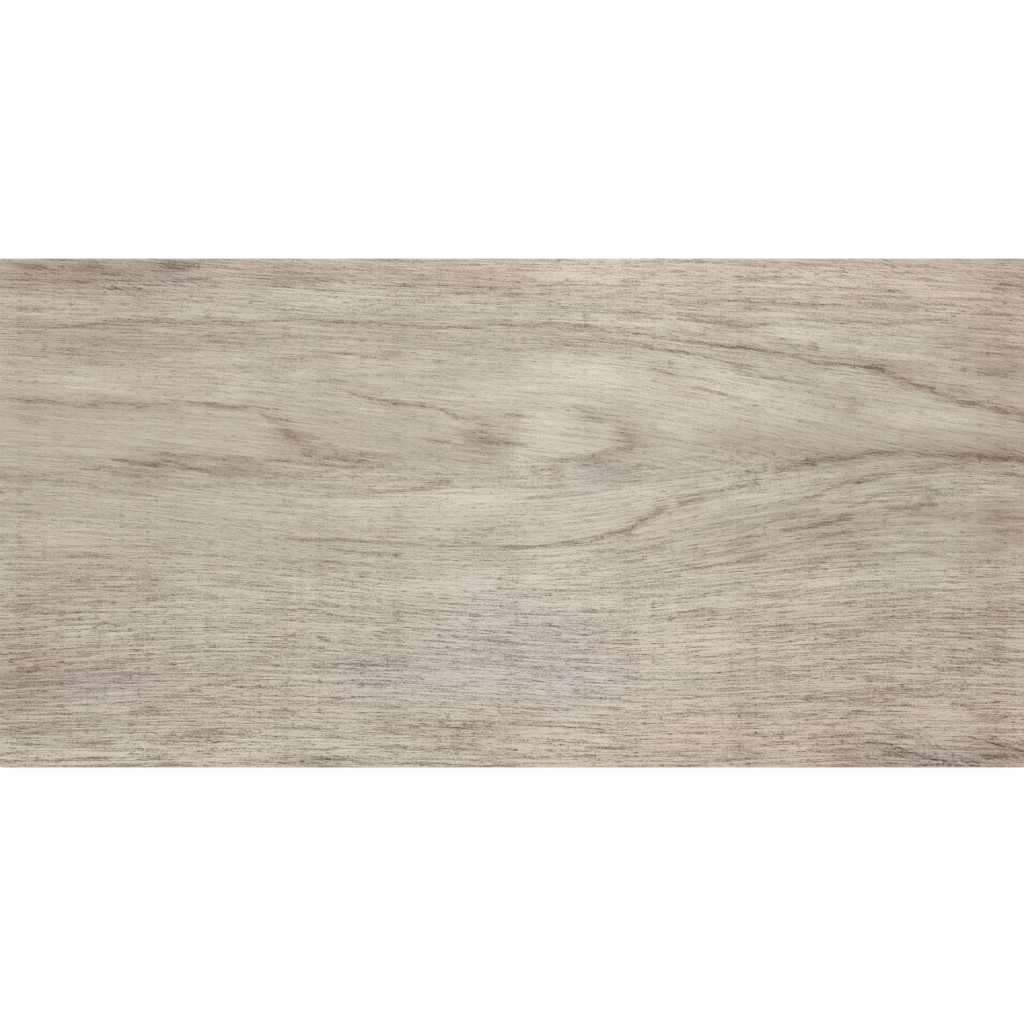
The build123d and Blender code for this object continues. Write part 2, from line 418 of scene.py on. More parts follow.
grey_streaks = (
    # the splinters of the left cluster
    (0.6, 0.9, (92, 114.1), (98.4, 113.6), (106, 115.6), (116, 117.4)),
    (0.5, 0.9, (121, 115.1), (131, 116.1), (142, 116.2)),
    (0.6, 0.9, (157, 117.2), (163.5, 118.1), (168.5, 117.9), (175, 119.2)),
    (0.45, 1, (142, 121.5), (152, 122.3), (161, 124.1)),
    (0.5, 0.9, (84, 120.6), (92, 122.1), (97, 122.3)), (0.45, 1, (88, 124.3), (95, 125.8)),
    # the knot at the lower right
    (1.1, 1.3, (517, 283.2), (524, 285.2), (531, 287.8)),
    (1.3, 1.2, (534, 289), (542, 292.4), (556, 293.2)),
    (0.9, 1.8, (516, 287.8), (525, 290.2), (532, 292.2)), (1.1, 1.1, (520, 278.6), (530, 279.6)),
    (1.2, 1.3, (564.5, 278.6), (571, 280.8)), (1.5, 1.1, (575, 277.8), (582, 279.8)),
    (1.2, 1.5, (573.5, 281.4), (584, 284), (598, 287.6)), (0.9, 1.1, (548, 286), (554, 287)),
    (0.9, 1.1, (556, 288.8), (565, 291.8), (573, 294)), (0.9, 1, (554, 279.4), (560, 280.2)),
    (1, 1, (536, 295.2), (542, 296)), (0.8, 1, (519, 294), (525, 294.2)),
    (0.8, 1.1, (511, 271.8), (521, 272.2)), (0.9, 1, (566, 283.8), (570.5, 284.6)),
    (0.8, 1, (588, 294.4), (592.5, 294.8)),
    (0.95, 1.1, (499, 285.2), (508, 282.3), (515.4, 282.5), (519.8, 283.7), (530, 288.1),
        (537.3, 289.9), (542.4, 292.3), (557, 293.7)),
    (0.7, 1, (520, 278.2), (530, 279.3), (535.8, 280.4), (546, 283.7), (550.4, 286.3),
        (562.8, 291.4), (571, 294.1)),
    (0.6, 1, (515, 287.3), (522.7, 288.4), (528.5, 291), (534, 292.4)),
    (0.75, 1.1, (564, 278.2), (570.5, 280.4)), (0.85, 1, (575, 277.7), (585.5, 280.3)),
    (0.85, 1.2, (573, 281), (584, 284.1), (589.8, 285.2), (598, 287.6)),
    (0.5, 1, (551, 279.2), (560.5, 280.3)), (0.5, 1, (509, 271.5), (521, 272)),
    (0.5, 1.1, (515, 265.8), (530, 263.2), (538.5, 263.2)),
    (0.45, 1.1, (476, 279.3), (485.4, 275.8), (493, 275.6)),
    (0.5, 1, (502, 277.5), (509.5, 277.3), (515, 278.8)),
    # upper left
    (0.75, 3.2, (95, 2.6), (106, 3.4), (119, 5.4)), (0.55, 1.6, (98, 5.4), (115, 5.6)),
    (0.5, 1.3, (0, 27.3), (14, 29.3), (36, 29)), (0.35, 1.4, (48, 30), (70, 31.5), (82, 31.5)),
    (0.3, 1.1, (68, 26.5), (79, 27)), (0.35, 1.2, (105, 25), (113, 25), (120, 26), (129, 26)),
    (0.25, 1.1, (93, 28.4), (122, 28.5)), (0.3, 1, (0, 45), (20, 45.7), (37, 45.5)),
    (0.6, 1.2, (48, 44.8), (57, 46), (75, 46), (85, 45.4)),
    (0.45, 1.2, (88, 44.6), (100, 44), (122, 46)), (0.55, 1.2, (120, 42.8), (130, 44), (153, 42.6)),
    (0.4, 1.2, (121, 45.6), (127, 48), (135, 49)),
    (0.5, 1.3, (0, 50.5), (10, 51), (25, 52.5), (43, 53), (50, 51.5), (67, 52)),
    (0.4, 1.2, (106, 49.4), (142, 52.5)), (0.3, 1.1, (3, 56), (17, 56.5)),
    (0.45, 1.2, (33, 55.8), (57, 57), (77, 56.5)), (0.45, 1.2, (82, 56), (90, 57), (95, 57)),
    (0.35, 1.2, (0, 60), (20, 61.5), (35, 62), (48, 63), (57, 62.5)),
    (0.5, 1.3, (63, 62), (82, 61.5), (90, 62), (100, 63.5), (107, 64), (140, 64), (150, 65)),
    (0.3, 1.1, (3, 65.4), (15, 67), (24, 67.5)), (0.3, 1.1, (96, 66), (105, 67.5), (112, 67)),
    (0.45, 1.3, (147, 29.5), (160, 29.5), (190, 32), (202, 32.5)),
    (0.55, 1.6, (147, 37.3), (163, 36.6)), (0.35, 1.2, (163, 42.8), (184, 45)),
    (0.5, 1.3, (198, 41), (225, 44), (245, 45), (250, 45.7), (260, 46), (278, 47.7), (287, 47.5)),
    (0.7, 1.3, (147, 47), (180, 46), (195, 46), (233, 49.3), (245, 49.3), (262, 51), (270, 50.2),
        (278, 51.3), (301, 53)),
    (0.3, 1.2, (152, 51), (172, 53)), (0.35, 1.3, (255, 54.5), (265, 54)),
    (0.4, 1.2, (147, 63), (158, 63.5), (187, 62.5)), (0.35, 1.2, (147, 66), (172, 66.8)),
    (0.5, 1.5, (186, 69.2), (207, 72.7)), (0.35, 1.3, (238, 67), (259, 69)),
    (0.4, 1.2, (256, 67), (265, 67.5), (274, 68.6)), (0.25, 1.2, (253, 64), (262, 63.5), (272, 64)),
    (0.35, 1.2, (212, 27), (222, 27.5)), (0.4, 1.2, (226, 26.3), (240, 28)),
    (0.5, 1.4, (228, 33), (245, 33), (250, 31.5), (257, 31), (275, 31.5), (282, 31)),
    (0.3, 1.3, (453, 36), (475, 37.5)), (0.3, 1.1, (521, 40.4), (532, 41.6)),
    (0.3, 1.1, (483, 66.8), (493, 67.8), (502, 67)),
    # between the tongues
    (0.2, 1.2, (36, 91.6), (45, 93.5), (52, 94)), (0.2, 1.1, (78, 90.4), (90, 92)),
    (0.65, 1.4, (141, 78), (149, 78), (157, 78.6)), (0.2, 1.2, (8, 107.4), (22, 109)),
    (0.25, 1.2, (81, 108.4), (107, 109)), (0.3, 1.2, (163, 77.4), (177, 78.6)),
    (0.3, 1.2, (158, 80.4), (172, 82)), (0.35, 1.3, (191, 81.8), (205, 84), (214, 84.6)),
    (0.4, 1.2, (298, 78), (319, 79)), (0.3, 1.2, (463, 95), (477, 96)),
    (0.35, 1.2, (468, 98.8), (487, 100)), (0.3, 1.2, (500, 97.4), (510, 98.2)),
    (0.3, 1.2, (318, 112), (327, 112)), (0.4, 1.4, (523, 107.8), (532, 109), (542, 109.6)),
    (0.25, 1.2, (568, 105.8), (582, 107)), (0.5, 1.4, (578, 108.8), (585, 111), (598, 113)),
    (0.5, 1.8, (401, 110.2), (412, 108), (420, 108), (434, 110)),
    (0.45, 1.3, (426, 113.8), (435, 115.5), (444, 116)),
    (0.45, 1.4, (438, 103.8), (447, 106), (457, 106.6)), (0.35, 1.4, (391, 115), (410, 117.5)),
    (0.35, 1.2, (374, 109), (384, 109.6)),
    # the grey of the left tongue
    (0.6, 1.5, (0, 127.6), (27, 126.8), (42, 125), (50, 123), (55, 123.5), (62, 122.4)),
    (0.35, 1.5, (12, 127.3), (26, 126.8)), (0.35, 1.6, (46, 123), (53, 123.4), (58, 123)),
    (0.85, 1.4, (64, 117.3), (82, 119.3), (93, 120), (99, 121.7)),
    (0.5, 2.6, (86, 115), (93, 113.6), (105, 115), (133, 115.5), (151, 117)),
    (0.5, 1.8, (88, 116.8), (100, 118.5), (113, 122), (120, 122.5), (128, 125), (131, 125.5),
        (139, 128)),
    (0.55, 1.4, (103, 121.8), (130, 125.6)), (0.4, 1.5, (131, 121.8), (142, 123), (151, 122)),
    (0.35, 1.2, (63, 128), (72, 129)), (0.4, 1.6, (83, 124.8), (102, 128)),
    (0.3, 1.2, (53, 132.4), (64, 133)),
    (0.3, 2.4, (70, 132), (85, 132), (92, 133), (115, 133), (130, 132), (147, 132)),
    (0.8, 1.3, (153, 118), (163, 118), (178, 119.5), (185, 119.7), (200, 122), (207, 122),
        (215, 122.6)),
    (0.5, 1.3, (148, 121.8), (167, 124)), (0.55, 1.5, (147, 127.4), (155, 128.5), (167, 127)),
    (0.35, 2, (147, 131), (172, 133)), (0.45, 2.6, (168, 127), (180, 126), (193, 128), (212, 125)),
    (0.5, 1.1, (230, 128.5), (242, 129)), (0.3, 1.1, (218, 131), (232, 131)),
    (0.4, 1.5, (0, 137), (5, 136), (12, 136), (30, 138), (47, 138)),
    (0.35, 1.6, (345, 123), (355, 123), (362, 122), (372, 123)),
    (0.65, 1.6, (348, 127.3), (363, 131), (370, 130), (380, 129.5)),
    (0.45, 1.8, (350, 130.8), (358, 132.5), (367, 133)),
    (0.4, 1.3, (375, 121.4), (383, 122.5), (394, 121.4)), (0.4, 1.2, (393, 123.5), (405, 123.6)),
    (0.4, 1.2, (401, 121.4), (410, 122)),
    (0.4, 1.6, (413, 129), (425, 129), (435, 127.5), (447, 127)),
    (0.45, 1.6, (433, 124.4), (445, 122), (457, 121)), (0.3, 1.3, (348, 140.4), (359, 141)),
    (0.35, 1.6, (298, 144), (307, 144)),
    # the long quiet lines under the tongues
    (0.25, 1.1, (48, 140), (67, 140)), (0.3, 1.1, (0, 143), (32, 144.6)),
    (0.4, 1.3, (0, 146.4), (10, 148), (20, 147.5)),
    (0.3, 1.1, (38, 145), (50, 145), (65, 147), (82, 147.6)), (0.3, 1.1, (128, 144), (151, 144)),
    (0.45, 1.3, (3, 148.4), (14, 149)),
    (0.4, 1.1, (0, 155), (10, 155), (35, 154), (60, 154.5), (88, 157), (97, 156.5), (103, 157.5),
        (118, 159)),
    (0.4, 1.1, (70, 151.3), (90, 152.4)), (0.3, 1.1, (102, 152.8), (113, 154), (122, 154)),
    (0.4, 1, (0, 161), (20, 161), (32, 160.4)), (0.4, 1.1, (123, 160), (130, 159.8), (151, 160.8)),
    (0.4, 1.1, (93, 161.8), (103, 163), (120, 164)),
    (0.5, 1.2, (0, 171), (30, 168.7), (60, 167.8), (70, 168), (77, 168.8), (85, 168), (98, 167.8)),
    (0.4, 1.1, (2, 174.9), (15, 174.3), (34, 175)),
    (0.5, 1.2, (35, 172.8), (43, 174), (60, 172.7), (70, 173), (85, 172.5), (137, 173.5)),
    (0.3, 1, (78, 175), (100, 174.5), (117, 175)), (0.35, 1.1, (128, 175.4), (152, 176)),
    (0.35, 1, (8, 177.4), (22, 177.8)), (0.45, 1.1, (28, 179.3), (38, 179.5), (62, 178.6)),
    (0.4, 1, (93, 181), (105, 180.5), (127, 181)), (0.3, 1.1, (0, 180), (8, 180.8), (14, 180.5)),
    (0.35, 1.1, (58, 182), (82, 182), (89, 181.4)), (0.4, 1.1, (8, 184), (62, 183)),
    (0.35, 1.1, (22, 184), (33, 183.7)), (0.4, 1.1, (0, 185), (10, 185)),
    (0.3, 1.1, (18, 186), (40, 186.5), (67, 185.4)),
    (0.3, 1, (98, 186.4), (108, 187), (117, 186.4)), (0.3, 1, (133, 185.7), (145, 186.5)),
    (0.3, 1, (33, 189), (59, 189)),
    (0.35, 1.1, (58, 194), (70, 194), (80, 193), (100, 192.8), (122, 190.8)),
    (0.5, 1.1, (123, 189), (143, 190), (150, 189.4), (167, 190)),
    (0.5, 1.2, (0, 197.5), (8, 197.7), (15, 197.3), (30, 195), (50, 195.3), (70, 197), (79, 196.7)),
    (0.3, 1, (28, 197.4), (47, 198.6)), (0.4, 1.1, (100, 196.6), (127, 195)),
    (0.35, 1.1, (0, 202), (12, 201)), (0.4, 1.1, (33, 202), (45, 200.8), (67, 200.2)),
    (0.35, 1, (0, 206), (10, 205.5), (22, 204.2)), (0.4, 1.1, (18, 208), (38, 207.3), (57, 205)),
    (0.3, 1, (83, 206.4), (92, 206.8), (102, 206)),
    (0.5, 1.2, (108, 204.4), (120, 204.5), (127, 203.5), (145, 203)),
    (0.5, 1.1, (88, 207.8), (97, 209), (105, 209.2), (127, 208.6)),
    (0.3, 1, (18, 210.8), (37, 210.2)), (0.3, 1, (18, 215.8), (29, 215.8)),
    (0.45, 1.2, (83, 217.3), (95, 217.3)), (0.45, 1.1, (116, 217.4), (137, 216.4)),
    (0.5, 1.2, (78, 222.6), (88, 221.5), (105, 220.5), (120, 220.2)),
    (0.4, 1.1, (138, 220.8), (151, 220)), (0.45, 1.1, (178, 150.3), (192, 151.6)),
    (0.4, 1.8, (220, 150.3), (228, 152), (235, 152), (242, 150.8)),
    (0.3, 1.2, (256, 151), (265, 151), (272, 150.4)), (0.35, 1.1, (148, 157), (170, 158.9)),
    (0.4, 1.1, (173, 159), (199, 158.3), (207, 158.9)), (0.25, 1.1, (223, 158), (237, 159)),
    (0.35, 1.1, (288, 160.4), (301, 161.4)), (0.4, 1.1, (175, 167.8), (193, 170)),
    (0.3, 1.1, (148, 166.5), (162, 166.5)), (0.4, 1.1, (157, 173.3), (174, 174.3)),
    (0.5, 1.1, (171, 174.6), (202, 178.3), (210, 178), (219, 178.8)),
    (0.55, 1.2, (148, 175.3), (158, 176.5), (180, 177.8)), (0.4, 1.1, (163, 176.9), (175, 177.4)),
    (0.3, 1, (223, 176.2), (232, 176.8)), (0.35, 1.1, (168, 180), (180, 180)),
    (0.5, 1.2, (188, 180.2), (204, 181.2)), (0.35, 1.8, (168, 184), (180, 184.5), (192, 184)),
    (0.4, 1.1, (223, 181), (235, 181)), (0.45, 1.2, (241, 183.8), (250, 185.5), (259, 186)),
    (0.35, 1, (251, 183), (264, 183)), (0.35, 1, (270, 183.6), (280, 184.4)),
    (0.35, 1.3, (253, 175), (262, 175)), (0.45, 1.1, (270, 176), (280, 176.7), (289, 176.2)),
    (0.5, 1.2, (166, 189.4), (189, 192)), (0.4, 1.1, (191, 194), (207, 194)),
    (0.25, 1, (203, 189), (217, 189)), (0.4, 1.1, (241, 197), (257, 197)),
    (0.5, 1.2, (148, 201.6), (160, 200.8), (167, 200.8), (200, 204.5), (217, 205)),
    (0.35, 1, (148, 204), (160, 204), (187, 205.6)), (0.3, 1, (148, 207), (180, 207), (192, 207.6)),
    (0.7, 1.2, (223, 206.2), (240, 207.3), (264, 209.6)),
    (0.5, 1.2, (283, 200.8), (290, 202.5), (295, 202.7), (301, 201.8)),
    (0.4, 1, (268, 208.4), (285, 209.4)), (0.45, 1.3, (218, 213.2), (230, 212), (239, 212)),
    (0.45, 1.1, (248, 213.2), (264, 214.4)), (0.35, 1, (263, 213), (285, 213.4)),
    (0.4, 1, (268, 216), (285, 216.9)), (0.4, 1.1, (148, 217.4), (167, 217)),
    (0.45, 1.1, (163, 220), (180, 219), (192, 219)), (0.45, 1.2, (258, 218.4), (272, 218.8)),
    (0.5, 1.2, (228, 221.2), (240, 220.8), (249, 221.6)),
    (0.35, 1, (298, 175.5), (308, 175.5), (325, 174.4)),
    (0.4, 1, (298, 183), (320, 183.5), (329, 183.3)),
    (0.45, 1.1, (333, 182), (342, 182.3), (350, 182)),
    (0.55, 1.1, (298, 194), (320, 195), (328, 194.3), (342, 194.2)),
    (0.3, 0.9, (298, 192), (317, 192.8)), (0.35, 1, (343, 192), (354, 191.4)),
    (0.45, 1.1, (346, 195.6), (363, 194.2)),
    (0.45, 1, (298, 197), (310, 197), (330, 197.8), (352, 195.9)),
    (0.3, 1, (360, 188.5), (368, 188.2), (375, 188.8)), (0.3, 1, (363, 192), (385, 191.5)),
    (0.6, 1.1, (333, 206), (355, 206.3), (365, 206), (388, 202), (402, 200.3)),
    (0.4, 1, (308, 202.4), (318, 203.3), (342, 203.7)),
    (0.45, 1, (298, 204.8), (340, 209.5), (352, 210), (372, 209), (382, 207.9)),
    (0.65, 1.1, (330, 213.2), (365, 214), (375, 213.5), (382, 212), (398, 209.7), (414, 208.4)),
    (0.35, 1.1, (298, 212.4), (312, 213)),
    (0.5, 1.1, (321, 215.3), (330, 216.3), (345, 217), (350, 218), (362, 218.6)),
    (0.35, 1.1, (323, 215.8), (339, 216.6)), (0.5, 1.1, (308, 220.8), (316, 221.7), (325, 222)),
    (0.4, 1, (393, 205), (400, 205.3), (407, 204), (415, 203.6)),
    (0.35, 1, (413, 205.7), (425, 206), (440, 204), (450, 203.4)),
    (0.35, 1, (413, 218.6), (425, 218.2), (432, 218.5), (440, 218)),
    (0.3, 1, (348, 221), (362, 221.2)),
    (0.5, 1.1, (449, 197.4), (467, 196.3), (475, 195), (483, 194.5), (492, 192.5), (512, 190.8)),
    (0.45, 1.1, (460, 199.6), (478, 199), (493, 197), (517, 195.4)),
    (0.45, 1, (473, 203.2), (490, 201), (510, 199.7), (537, 198.7)),
    (0.35, 1, (463, 207.2), (497, 203.7), (517, 203)),
    (0.5, 1.1, (525, 188.8), (535, 189.3), (545, 188.5), (562, 188.3), (570, 187.5), (598, 186.5)),
    (0.5, 1.1, (528, 193.6), (550, 192.7), (560, 193), (585, 191.7), (598, 192)),
    (0.4, 1, (538, 198.2), (575, 196.5), (598, 197)),
    (0.35, 1, (570, 200.2), (580, 200.7), (592, 200)), (0.4, 1, (553, 203.2), (564, 203.8)),
    (0.4, 1, (573, 203), (590, 203.3), (598, 203)), (0.4, 1, (543, 207.2), (598, 206)),
    (0.5, 1.1, (553, 210.2), (562, 210), (570, 209), (585, 208.7), (594, 208)),
    (0.4, 1, (516, 210.3), (526, 210.3)), (0.35, 1, (508, 206.4), (519, 206)),
    (0.4, 1, (533, 212.2), (547, 211.4)), (0.4, 1, (583, 211.8), (597, 211.5)),
    (0.5, 1.2, (503, 216.2), (510, 215), (517, 214.4)),
    (0.5, 1.1, (493, 217.2), (503, 217.5), (509, 217)), (0.35, 1, (485, 213.6), (497, 213.8)),
    (0.35, 1, (518, 219.8), (537, 219.2)), (0.35, 1, (558, 219), (577, 219.4)),
    # the lower left and the close dashes along the bottom edge
    (0.45, 1.3, (0, 234.6), (10, 233.7), (17, 232.3), (27, 232.5)),
    (0.35, 1.1, (48, 226.2), (59, 226)), (0.4, 1.1, (58, 233.2), (74, 231.9)),
    (0.3, 1.2, (28, 231.4), (45, 233), (57, 233)),
    (0.4, 1.2, (95, 235), (105, 236.7), (115, 235.8)),
    (0.55, 1.2, (116, 234.9), (125, 234), (135, 234), (151, 233)),
    (0.45, 1.4, (58, 238.5), (67, 239.3), (75, 238.4)), (0.45, 1.2, (73, 242.5), (92, 240.5)),
    (0.4, 1.1, (25, 244.5), (35, 244.7)), (0.5, 1.3, (0, 246), (7, 246.5), (24, 246)),
    (0.55, 1.3, (38, 246.6), (54, 247)), (0.45, 1.2, (58, 247.7), (67, 247), (75, 247)),
    (0.5, 1.3, (0, 251), (7, 251.4)), (0.35, 1.2, (36, 250), (45, 250.3), (52, 249.6)),
    (0.45, 1.2, (5, 254.1), (24, 253.7)), (0.4, 1.2, (66, 256), (77, 256)),
    (0.35, 1.2, (0, 262), (8, 262.5), (17, 262)), (0.4, 1.2, (80, 263.2), (100, 261.9)),
    (0.4, 1.2, (96, 263.8), (107, 264.5), (114, 264)),
    (0.35, 1.4, (108, 254.7), (120, 257), (132, 257)), (0.35, 1.1, (70, 268.2), (80, 268.5)),
    (0.45, 1.2, (115, 267.4), (124, 268.2), (132, 268)),
    (0.35, 1.2, (0, 271.2), (7, 272), (14, 271.6)), (0.7, 1.4, (0, 275.4), (15, 275.5)),
    (0.5, 1.2, (15, 275.4), (27, 276)),
    (0.5, 1.2, (96, 275.3), (105, 275.5), (125, 275), (137, 273.9)),
    (0.6, 1.2, (106, 278), (135, 278), (151, 276.5)),
    (0.6, 1.4, (40, 279), (57, 279), (62, 280), (69, 280.4)), (0.3, 1.1, (28, 281), (42, 281.3)),
    (0.9, 1.5, (118, 281), (128, 281.3), (139, 281)),
    (0.8, 1.4, (13, 283.9), (22, 284.2), (32, 283.7)), (0.8, 1.5, (45, 283.8), (69, 282.9)),
    (0.8, 1.4, (93, 285.8), (105, 285.5), (124, 284.2)), (0.4, 1.3, (141, 284), (151, 283.7)),
    (0.35, 1.1, (8, 287), (19, 286.7)), (0.5, 1.2, (50, 286.7), (60, 286.8), (70, 286.2)),
    (0.6, 1.4, (110, 288), (122, 288.3), (135, 287.6)),
    (0.55, 1.4, (108, 290.4), (118, 291), (127, 290.4)), (0.9, 2, (0, 292.5), (5, 293), (14, 293)),
    (0.9, 1.8, (18, 292.9), (27, 293.2), (33, 292.5)),
    (0.7, 1.4, (31, 292.8), (40, 291.5), (50, 291.7), (59, 291.2)),
    (0.5, 1.3, (78, 292), (88, 292.3), (97, 290.8)),
    (0.6, 2.4, (63, 296.6), (75, 295.7), (90, 295.5), (107, 294.4)),
    (0.35, 1.1, (158, 233), (167, 233.3), (175, 233)),
    (0.55, 1.3, (213, 231.6), (233, 232.7), (242, 233.7)),
    (0.5, 1.3, (256, 235.6), (265, 236.5), (274, 236.5)),
    (0.35, 1.2, (273, 237.8), (285, 238.7), (297, 239)), (0.35, 1.1, (198, 241), (209, 241)),
    (0.35, 1.2, (216, 243), (230, 243.3)), (0.4, 1.3, (266, 226), (275, 226.3), (284, 226)),
    (0.45, 1.8, (203, 249), (213, 248.7), (222, 249.5), (230, 249.2)),
    (0.35, 1.1, (238, 251.4), (254, 252.4)), (0.35, 1.1, (253, 253), (264, 253.6)),
    (0.4, 1.1, (170, 252), (182, 252.4)), (0.5, 1.4, (190, 256.3), (198, 256.7), (212, 256)),
    (0.45, 1.4, (263, 256.4), (285, 257.6)), (0.35, 1.2, (178, 262), (197, 261.6)),
    (0.4, 1.3, (283, 260.4), (297, 260.8)), (0.45, 1.2, (148, 268), (170, 268.3), (177, 268)),
    (0.35, 1.2, (225, 266.2), (236, 266.8)), (0.3, 1.2, (260, 268.8), (272, 268.4)),
    (0.75, 1.3, (178, 272.8), (185, 274.5), (200, 275)),
    (0.8, 1.4, (223, 272.4), (233, 273), (247, 273), (255, 272.3)),
    (0.4, 1.2, (230, 276), (240, 276.5), (249, 276.2)),
    (0.8, 1.8, (260, 272.8), (268, 274), (275, 273), (290, 272), (301, 272)),
    (0.4, 2.4, (256, 273), (272, 275)), (0.5, 1.3, (206, 278.6), (215, 278.7), (227, 277.8)),
    (0.7, 1.3, (238, 279.2), (257, 279.6)), (0.6, 1.4, (276, 280.1), (285, 279.3), (308, 278.4)),
    (0.3, 1.1, (268, 276), (282, 276)), (0.3, 1.1, (173, 280), (182, 280)),
    (0.85, 1.4, (188, 285.7), (205, 285.8)), (0.4, 1.2, (158, 287), (172, 287)),
    (0.75, 1.5, (216, 286), (228, 285.7), (252, 286.8)),
    (0.8, 1.8, (248, 287), (262, 288.7), (272, 287.9)),
    (0.5, 1.6, (260, 285), (272, 286.5), (282, 286.4)),
    (0.5, 1.6, (278, 289.8), (290, 290.7), (301, 290.6)), (0.6, 1.3, (183, 291.6), (205, 292.2)),
    (0.5, 1.2, (208, 292.4), (219, 292.9)), (0.75, 1.8, (160, 294.6), (172, 294.4)),
    (0.5, 1.8, (203, 295), (212, 295), (222, 294.4)),
    (0.8, 1.6, (233, 294.1), (247, 293.7), (253, 292.8)), (0.4, 1.4, (223, 295.6), (237, 295.3)),
    (0.35, 1.2, (148, 293.6), (155, 293.8)), (0.35, 1.2, (263, 293), (277, 293.4)),
    (0.55, 1.2, (298, 240), (315, 242.7), (352, 246), (370, 246), (383, 245.3), (392, 246),
        (408, 244.8), (422, 244.5), (428, 243.5), (442, 242.7), (451, 240.9)),
    (0.35, 1.3, (328, 243.9), (342, 244.9)), (0.35, 1.3, (403, 245), (422, 244.4)),
    (0.3, 1.3, (436, 243), (451, 241)), (0.35, 1, (373, 231.4), (382, 232), (390, 232)),
    (0.3, 1, (403, 235), (422, 234.4)), (0.35, 1.1, (298, 248.6), (310, 249)),
    (0.3, 1.1, (310, 253), (320, 253)), (0.3, 1, (333, 248), (344, 247.6)),
    (0.35, 1, (358, 248.3), (377, 248.5)), (0.5, 1.3, (386, 252), (402, 252)),
    (0.55, 1.6, (416, 252), (423, 253), (432, 252.2)), (0.35, 1.2, (328, 254), (352, 253)),
    (0.55, 1.2, (340, 256.2), (350, 257), (363, 257.3), (370, 258.5), (379, 259)),
    (0.4, 1.1, (373, 257.6), (398, 255.7), (417, 256)),
    (0.35, 1.2, (318, 262.4), (330, 264), (342, 264)),
    (0.5, 1.2, (425, 258.9), (433, 259.3), (442, 259)),
    (0.5, 1.3, (358, 267.6), (380, 268), (393, 266.5), (406, 266.7), (412, 265.8)),
    (0.4, 1.4, (398, 266.4), (410, 266.4)), (0.35, 1.1, (368, 269.8), (380, 271.6)),
    (0.35, 1.1, (428, 270), (439, 270)), (0.35, 1.2, (301, 269), (312, 269)),
    (0.45, 1.3, (333, 271.2), (342, 271.7), (360, 271)), (0.6, 1.3, (301, 273.8), (318, 275.1)),
    (0.7, 1.5, (320, 276.8), (328, 277.7), (336, 277.5)),
    (0.6, 1.2, (341, 275.4), (350, 276), (359, 275.6)), (0.5, 1.4, (398, 274.4), (408, 274.8)),
    (0.4, 1.3, (406, 275.6), (417, 276)), (0.45, 1.3, (298, 279), (308, 278.5), (322, 281.2)),
    (0.5, 1.3, (338, 279), (347, 279.5), (365, 279), (380, 278)),
    (0.3, 1.1, (333, 283), (344, 282.8)), (0.4, 1.2, (363, 283), (377, 283)),
    (0.4, 1.3, (308, 285.8), (319, 286.8)), (0.45, 1.3, (328, 286), (339, 286.7)),
    (0.75, 1.4, (350, 285.6), (365, 286.3), (372, 285.6)),
    (0.55, 1.5, (391, 286.8), (400, 286), (408, 286.3), (415, 286)),
    (0.8, 1.5, (298, 291.6), (307, 290.7), (324, 291)), (0.9, 1.9, (330, 290.4), (349, 289.7)),
    (0.8, 1.7, (410, 290.8), (418, 292), (425, 291.8), (432, 290.8)),
    (0.5, 1.6, (433, 287.8), (442, 288.5), (451, 287.8)), (0.4, 1.4, (436, 285.6), (446, 285.8)),
    (0.45, 1.4, (348, 291.8), (360, 293.5), (370, 294)), (0.6, 1.2, (393, 296.3), (402, 296.3)),
    (0.4, 1.6, (443, 278.6), (455, 279)), (0.35, 1.2, (441, 236.8), (451, 235.8)),
    # the knot at the lower right
    (0.45, 1.2, (495, 246.6), (505, 246), (515, 247), (532, 247)),
    (0.35, 1.1, (468, 247.3), (479, 247)), (0.55, 1.3, (506, 271.1), (515, 271.8), (529, 271.2)),
    (0.45, 1.3, (543, 272), (553, 272.3), (562, 271.9)),
    (0.45, 1.2, (458, 272.6), (467, 273.3), (474, 273)), (0.3, 1.1, (503, 277.3), (517, 277.5)),
    (0.7, 1.3, (518, 278.8), (535, 279.5)), (0.35, 1.5, (478, 277.2), (497, 276)),
    (0.45, 1.3, (468, 282), (478, 282.3), (485, 281.5)),
    (0.8, 1.8, (496, 284.4), (508, 282.3), (514, 282), (525, 285), (528, 286.7), (536, 287)),
    (0.85, 2, (532, 287.8), (542, 291.5), (547, 292), (562, 294.7)),
    (0.3, 1.2, (498, 289), (509, 289.4)),
    (0.5, 1.8, (513, 286.6), (520, 289), (533, 292.5), (542, 293.7)),
    (0.4, 1.4, (548, 279), (560, 279.6)),
    (0.6, 1.5, (563, 278.8), (572, 280.5), (584, 283.5), (592, 285)),
    (0.65, 1.9, (572, 281), (588, 284.2)), (0.7, 2, (588, 286.3), (598, 287.3)),
    (0.4, 1.2, (573, 278.3), (582, 278.6)), (0.35, 1.2, (546, 286), (557, 286.5)),
    (0.45, 1.6, (588, 280.8), (598, 282)), (0.65, 1.6, (483, 296), (490, 296.3), (499, 296)),
    (0.6, 1.3, (555, 296.4), (564, 296.4)), (0.4, 2, (558, 292), (598, 294)),
)
